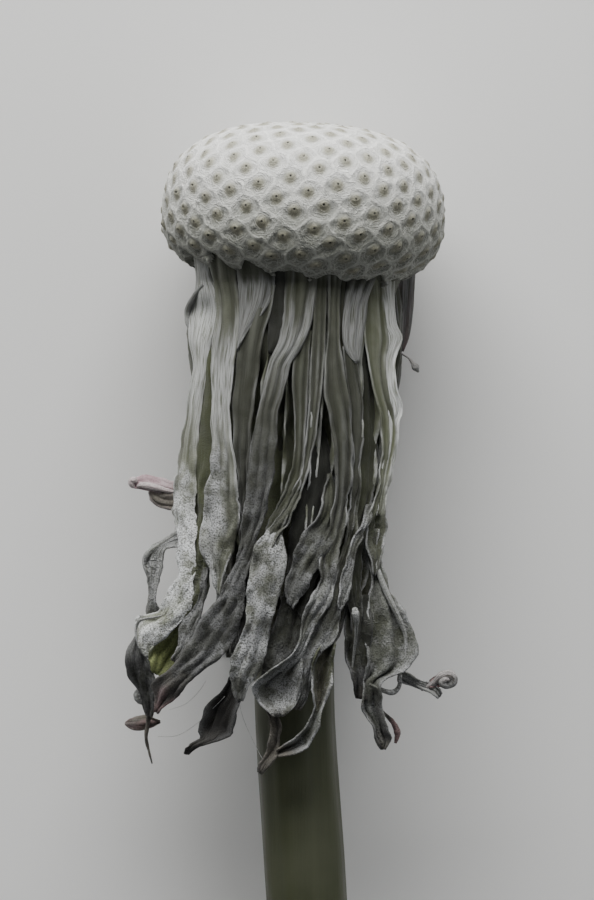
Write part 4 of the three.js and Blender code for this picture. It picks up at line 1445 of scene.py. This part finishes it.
rootY = innerBracts["rootY"]
backingRoutes = [  # stations from root to tip: place and width
    [[-3.6, rootY, -1.6, 1.6], [-4.2, -5.5, -1.7, 1.2], [-4.4, -8.5, -1.8, 1.0], [-4.6, -12.0, -1.8, 0.8]],
    [[-3.85, rootY, 0.6, 2.0], [-4.5, -5.4, 1.0, 1.4], [-4.3, -7.2, 1.1, 1.3], [-4.7, -11.0, 1.1, 1.1]],
    [[-3.1, rootY, 2.2, 1.9], [-3.3, -6.2, 2.6, 1.6], [-3.3, -10.6, 2.6, 1.4], [-3.4, -13.7, 2.7, 1.0]],
    [[-1.8, rootY, 3.3, 1.8], [-2.4, -6.2, 3.6, 1.6], [-2.5, -10.0, 3.4, 1.4], [-2.75, -14.0, 3.2, 1.0]],
    [[-0.8, rootY, 3.4, 1.6], [-0.9, -5.8, 3.7, 1.8], [-1.0, -10.0, 3.6, 1.8], [-1.6, -16.0, 3.4, 1.0]],
    [[0.1, rootY, 3.8, 1.6], [-0.2, -5.5, 4.2, 1.6], [-0.4, -9.0, 4.2, 1.6], [-1.0, -15.0, 4.2, 1.4]],
    [[0.8, rootY, 3.7, 1.6], [0.5, -6.0, 4.1, 1.6], [0.3, -10.0, 4.1, 1.6], [0.0, -16.0, 4.2, 1.3]],
    [[1.5, rootY, 3.5, 1.6], [1.3, -6.6, 4.2, 1.6], [1.3, -10.0, 4.2, 1.6], [0.9, -17.0, 4.2, 1.2]],
    [[2.1, rootY, 3.1, 1.6], [2.1, -6.2, 3.7, 1.6], [2.1, -10.2, 3.8, 1.5], [1.8, -15.5, 3.8, 1.2]],
    [[2.6, rootY, 2.7, 1.6], [2.8, -6.0, 3.0, 1.4], [2.8, -10.0, 3.0, 1.4], [2.4, -15.5, 3.0, 1.2]],
    [[3.0, rootY, 2.3, 1.5], [3.4, -6.5, 2.9, 1.2], [3.4, -10.0, 2.8, 1.2], [3.1, -14.0, 2.9, 1.1]],
    [[3.6, rootY, 1.3, 1.6], [3.7, -6.6, 1.6, 1.3], [3.6, -10.0, 1.6, 1.2], [3.2, -14.0, 1.6, 1.0]],
    [[3.7, rootY, -1.1, 1.6], [3.9, -6.6, -1.2, 1.3], [3.8, -10.0, -1.2, 1.2], [3.4, -15.0, -1.0, 0.8]],
]


def hiddenRoute(turn, spreadOut, random):
    bearing = math.radians(turn)
    sway = (random() - 0.5) * 0.24
    least, more = innerBracts["hiddenLength"]
    length = least + more * random()
    stations = []
    for station in range(9):
        share = station / 8
        angle = bearing + sway * math.sin(share * 6)
        radius = innerBracts["hiddenRadius"] + 0.3 * math.sin(min(share * 3, 1.5)) + spreadOut * share ** 3
        width = 0.4 if station == 8 else 1.5 - 0.6 * math.sin(share * math.pi) ** 2
        if abs(turn) < 130:  # those at the sides are slimmer and hang closer
            radius -= 1.2 * smoothStep(share, 0.15, 0.5)
            width *= 0.75
        stations.append([radius * math.sin(angle), rootY - length * share, radius * math.cos(angle), width])
    return stations


# A root station more, tucked up under the rim.
def tucked(route):
    x, y, z, width = route[0][:4]
    return [[x * 0.92, y + innerBracts["rootTuck"], z * 0.92, width], *route]


# The sheet of fused roots behind the leaves, from under the rim down to where they part.
def makeRoots():
    columns = innerBracts["rootColumns"]
    look = {**leafLook, "olive": 0.35, "down": never, "dry": (0.7, 1.3), "seed": 71}
    spots, lengths = [], []
    for level in innerBracts["rootLevels"]:
        halfWidth, depth = bellyAt(level)
        drop = 0.12 + 0.18 * smoothStep(-level, 2.0, 3.2) + 1.0 * smoothStep(-level, 5.0, 9.5)
        row = []
        for column in range(columns + 1):
            turn = 2 * math.pi * column / columns
            place = Vector((math.sin(turn), level * 0.16, math.cos(turn)))
            pleat = noise.noise(place * 3.1) * 0.18 + noise.noise(place * 7.0) * 0.12
            pleat *= smoothStep(-level, 1.6, 4.0)
            front = 1.0 if math.cos(turn) > 0 else 0.97
            x = skirtMiddle * smoothStep(-level, 1.5, 4.0) + (halfWidth - drop + pleat) * math.sin(turn)
            tooth = 4.5 * noiseAt(turn * 4, 1, 6) + 1.8 * noiseAt(turn * 13, 2, 6)
            y = level + tooth * smoothStep(-level, 4.0, 9.8)
            row.append(placed(x, y, (depth - drop + pleat) * math.cos(turn) * front))
        spots.append(row)
        lengths.append(-level)
    sheet = layLeaf("roots", look, spots, lengths)
    for loop in sheet.data.uv_layers[0].data:
        loop.uv.x = 0.1 + 0.8 * abs((loop.uv.x * 14) % 2 - 1)
    return sheet


def makeInnerBracts():
    material = bladeFinish("withered bract", innerBracts["colours"])
    shown = [addPanel(name, **leaf) for name, leaf in frontLeaves.items()]
    shown += [addStrand(name, **strand) for name, strand in strands.items()]
    piece = joined(shown, "innerBractsShown")
    finishPiece(piece, material, "inner_bracts")
    under = []
    for number, route in enumerate(backingRoutes):
        inner = [[x * 0.92, y, z - innerBracts["backingDrop"], width * 1.45] if z > 2 and x < 2.7 else
                 [x * (0.78 if x > 0 else 0.83), y, z * 0.9, width * 0.9] for x, y, z, width in route]
        x, y, z, width = inner[-1]
        inner.append([x, y - 1.4, z - 0.2, width * 0.25])
        # the backing leaves' light brightens them as painted light in the shade where they lie
        under.append(addBlade(f"backing{number}", tucked(inner), seed=60 + number, olive=0.5, along=40,
                              light=(1.0, 1.6, 1.2), down=never, dry=(0.6, 1.4)))
    under.append(makeRoots())
    random = seededRandom(5)
    for number, (turn, spreadOut) in enumerate(innerBracts["hidden"]):
        route = tucked(hiddenRoute(turn, spreadOut, random))
        under.append(addBlade(f"under{number}", route, seed=30 + number))
    under = joined(under, "innerBractsUnder")
    finishPiece(under, material, "inner_bracts")
    print("inner bracts:", len(piece.data.polygons) + len(under.data.polygons), "faces")


# The outer bracts are short ones against the stem, and one that sticks out, pink, at the left.
outerBracts = {
    "stickingOut": [
        [-2.45, -4.7, -0.5, 1.6], [-2.6, -6.4, -0.5, 1.4], [-2.65, -8.4, -0.5, 1.2],
        [-2.8, -10.2, -0.5, 1.1, -70], [-3.3, -11.2, -0.4, 1.1, -30],
    ],
    "shown": {
        "flap": dict(
            seed=41, height=(-0.3, -0.2), camber=0.3, ribs=(2, 0.05), lips=(0.0, 0.12), wave=0.03,
            down=never, dry=(0.3, 0.6), root=0.25,
            rows=[
                (206, 206, 474, 28), (190, 190, 476, 24), (180, 180, 480, 18), (172, 171, 482, 14),
                (164, 163, 479, 15), (155, 154, 477, 15), (146, 145, 475, 15), (139, 138, 477, 12),
                (134, 133, 479, 9), (131, 131, 481, 5)
            ]),
        "lobe": dict(
            seed=42, height=(-0.3, -0.3), camber=0.25, ribs=(1, 0.05), lips=(0.0, 0.15), wave=0.05,
            crumple=0.08, olive=0.8, down=never, dry=never,
            rows=[
                (200, 204, 489, 23), (190, 192, 489, 22), (182, 180, 488, 23), (174, 170, 488, 22),
                (166, 161, 488, 20), (158, 154, 488, 16), (152, 150, 489, 9), (149, 149, 491, 2)
            ]),
    },
    "rolls": {
        "lowerRoll": dict(
            seed=43, root=2.0,
            points=[
                (178, 493, -0.1, 0.08), (168, 491, 0.05, 0.11), (158, 488, 0.1, 0.14),
                (149, 486, 0.1, 0.15), (141, 485, 0.05, 0.12), (137, 487, 0.0, 0.06)
            ]),
        "knob": dict(
            seed=44, root=2.0,
            points=[
                (137, 482, 0.0, 0.08), (134, 480, 0.05, 0.15), (131, 481, 0.05, 0.13),
                (132, 485, 0.0, 0.13), (134, 488, 0.0, 0.05)
            ]),
    },
    "huggingCount": 9,
    "huggingLength": (6, 3),  # the least, and how much more at most
    "huggingRadius": 2.45,
    "huggingRootY": -4.5,
    "colours": {
        "rib": (0.33, 0.27, 0.27),
        # a dark tint for painted shade in furrows and low on the skirt, and for dark blotches
        "furrowShadeAndBlotch": (0.20, 0.165, 0.16),
        "olive": (0.20, 0.20, 0.15),
        "fresh": (0.15, 0.175, 0.05),
        "margin": (0.50, 0.45, 0.45),
        "down": (0.40, 0.33, 0.34),
        "speck": (0.25, 0.19, 0.19),
        "dry": (0.30, 0.205, 0.225),
        "dryPale": (0.40, 0.32, 0.335),
        "blush": (0.30, 0.20, 0.21),
    },
}


def huggingRoute(number, random):
    angle = number * goldenAngle + 0.4
    least, more = outerBracts["huggingLength"]
    length = least + more * random()
    stations = []
    for station in range(6):
        share = station / 5
        radius = outerBracts["huggingRadius"] + 0.25 * share
        width = 1.3 * (1 - share ** 2) + 0.4
        y = outerBracts["huggingRootY"] - length * share
        stations.append([radius * math.sin(angle), y, radius * math.cos(angle), width])
    return stations


def makeOuterBracts():
    material = bladeFinish("pink withered bract", outerBracts["colours"])
    random = seededRandom(8)
    blades = [addBlade("stickingOut", outerBracts["stickingOut"], seed=40, curl=(0.6, 0.8, 1.0), wave=0.05,
                       olive=1.0, down=never)]
    blades += [addPanel(name, **leaf) for name, leaf in outerBracts["shown"].items()]
    blades += [addStrand(name, **roll) for name, roll in outerBracts["rolls"].items()]
    for number in range(outerBracts["huggingCount"]):
        route = huggingRoute(number, random)
        blades.append(addBlade(f"hugging{number}", route, seed=50 + number, along=30, wave=0.04, olive=0.9,
                               down=never))
    piece = joined(blades, "outerBractsDry")
    finishPiece(piece, material, "outer_bracts")
    print("outer bracts:", len(piece.data.polygons), "faces")


# The stem is a hollow olive stalk, cut off at its lower end.
stem = {
    "radius": 1.72,
    "wall": 0.5,
    "edge": 0.06,  # of the bevel round its cut
    "sides": 40,
    "rings": 70,
    "route": [
        (0.05, -2.8, 0), (-0.1, -9.0, 0), (-0.35, -16.0, 0), (-0.35, -21.0, 0),
        (0.08, -28.0, 0), (0.5, -34.0, -0.1), (0.85, -40.0, -0.3),
    ],
    # the stalk's own dark olive, darkened further as painted shade
    "green": (0.050, 0.056, 0.026),
    "dull": (0.042, 0.047, 0.022),
    "pale": (0.074, 0.079, 0.048),
    "cut": (0.28, 0.28, 0.19),
    "cutReach": (-21.95, -21.6),  # heights in the shared frame between which the cut's tint ends
}


def stemFinish():
    material = newMaterial("olive stalk", 0.55, Subsurface_Weight=0.0)
    lengthwise = inMillimetres(material, (1.0, 0.06, 1.0))
    spot = inMillimetres(material)
    streaks = noiseOf(material, lengthwise, 2.4, 5.0)
    fineStreaks = noiseOf(material, lengthwise, 9.0, 3.0)
    blotch = noiseOf(material, spot, 0.35, 4.0)
    grain = noiseOf(material, spot, 14.0, 4.0)
    tint = blended(material, spread(material, streaks, 0.3, 0.7), stem["dull"], stem["green"])
    tint = blended(material, spread(material, blotch, 0.35, 0.7, 0.0, 0.5), tint, stem["pale"])
    tint = blended(material, spread(material, grain, 0.62, 0.8, 0.0, 0.4), tint, stem["pale"])
    cut = spread(material, yOf(material, inMillimetres(material)), *stem["cutReach"], 1.0, 0.0)
    tint = blended(material, times(material, cut, 0.6), tint, stem["cut"])
    toShader(material, "Base Color", tint)
    height = timesPlus(material, fineStreaks, 0.7, times(material, grain, 0.3))
    addBump(material, height, 0.03, 0.6)
    toShader(material, "Roughness", spread(material, blotch, 0.3, 0.7, 0.45, 0.65))
    return material


def makeStem():
    stations = [[*point, 1.0] for point in stem["route"]]
    centres = [routeAt(stations, step / stem["rings"])[0] for step in range(stem["rings"] + 1)]
    deselectAll()
    start = placed(*centres[0])
    bpy.ops.mesh.primitive_circle_add(vertices=stem["sides"], radius=stem["radius"] * mm, location=start,
                                      rotation=(math.radians(90), 0, 0))
    piece = bpy.context.object
    piece.name = "stemStalk"
    bpy.ops.object.transform_apply(location=True, rotation=True, scale=True)
    bpy.ops.object.mode_set(mode="EDIT")
    bpy.ops.mesh.select_all(action="SELECT")
    for near, far in zip(centres, centres[1:]):
        bpy.ops.mesh.extrude_edges_move(TRANSFORM_OT_translate={"value": (far - near) * mm})
    bpy.ops.mesh.select_all(action="SELECT")
    bpy.ops.mesh.normals_make_consistent(inside=False)
    bpy.ops.object.mode_set(mode="OBJECT")
    for corner in piece.data.vertices:
        near = min(centres, key=lambda centre: abs(placed(*centre).y - corner.co.y))
        middle = placed(*near)
        offset = corner.co - middle
        turn = math.atan2(offset.x, offset.z)
        ridge = 0.02 * math.sin(turn * 9 + near.y * 0.05) + 0.03 * noiseAt(turn * 1.5, near.y * 0.2, 2)
        offset = Vector((offset.x, 0, offset.z)) * (1 + ridge)
        corner.co = Vector((middle.x, corner.co.y, middle.z)) + offset
    piece.data.update()
    wall = piece.modifiers.new("wall", "SOLIDIFY")
    wall.thickness = stem["wall"] * mm
    wall.offset = -1.0
    edge = piece.modifiers.new("edge", "BEVEL")
    edge.width = stem["edge"] * mm
    edge.segments = 2
    applyAll(piece)
    finishPiece(piece, stemFinish(), "stem")
    print("stem:", len(piece.data.polygons), "faces")


# Floor, light and camera.
studio = {
    "floorSize": 1.2,
    "floor": (0.78, 0.78, 0.77),
    "floorShade": (0.74, 0.74, 0.73),
    "lamps": {  # place from the skirt's middle, in metres, power and colour
        "key": ((-0.02, 0.175, 0.075), 1.15, (1, 0.995, 0.98)),
        "fill": ((0.16, -0.12, 0.22), 0.09, (0.95, 0.97, 1)),
    },
    "lampSize": 0.2,
    "world": (0.8, 0.82, 0.85, 1),
    "worldLight": 0.135,
    "cameraDistance": 0.2,
    "cameraTilt": 2.0,  # in degrees, over towards the dome
    "sensorWidth": 36,
    "frameHeight": 38.57,
    "frameCentre": (-0.257, -9.857),
}


def addLight(name, spot, aim, size, power, colour):
    light = bpy.data.lights.new(name, "AREA")
    light.shape = "SQUARE"
    light.size = size
    light.energy = power
    light.color = colour
    lamp = bpy.data.objects.new(name, light)
    lamp.location = spot
    lamp.rotation_euler = (aim - spot).to_track_quat("-Z", "Y").to_euler()
    bpy.context.collection.objects.link(lamp)


def makeStudio():
    deselectAll()
    bpy.ops.mesh.primitive_plane_add(size=studio["floorSize"])
    floor = bpy.context.object
    floor.name = "floor"
    paper = newMaterial("pale paper", 0.9)
    cloud = noiseOf(paper, inMillimetres(paper), 0.02)
    floorTint = blended(paper, cloud, studio["floor"], studio["floorShade"])
    toShader(paper, "Base Color", floorTint)
    floor.data.materials.append(paper)

    middle = placed(0, -9, 0)
    for name, (offset, power, colour) in studio["lamps"].items():
        addLight(name, middle + Vector(offset), middle, studio["lampSize"], power, colour)
    world = bpy.data.worlds.new("studio")
    world.use_nodes = True
    world.node_tree.nodes["Background"].inputs["Strength"].default_value = studio["worldLight"]
    world.node_tree.nodes["Background"].inputs["Color"].default_value = studio["world"]
    bpy.context.scene.world = world

    camera = bpy.data.cameras.new("camera")
    camera.sensor_width = studio["sensorWidth"]
    camera.lens = studio["sensorWidth"] * studio["cameraDistance"] / (studio["frameHeight"] * mm)
    camera.clip_start = 0.005
    view = bpy.data.objects.new("camera", camera)
    tilt = math.radians(studio["cameraTilt"])
    x, y = studio["frameCentre"]
    away = Vector((0, math.sin(tilt), math.cos(tilt))) * studio["cameraDistance"]
    view.location = placed(x, y, 0) + away
    view.rotation_euler = (-tilt, 0, 0)
    bpy.context.collection.objects.link(view)
    bpy.context.scene.camera = view


makeStudio()
makeStem()
makeOuterBracts()
makeInnerBracts()
makeReceptacle()
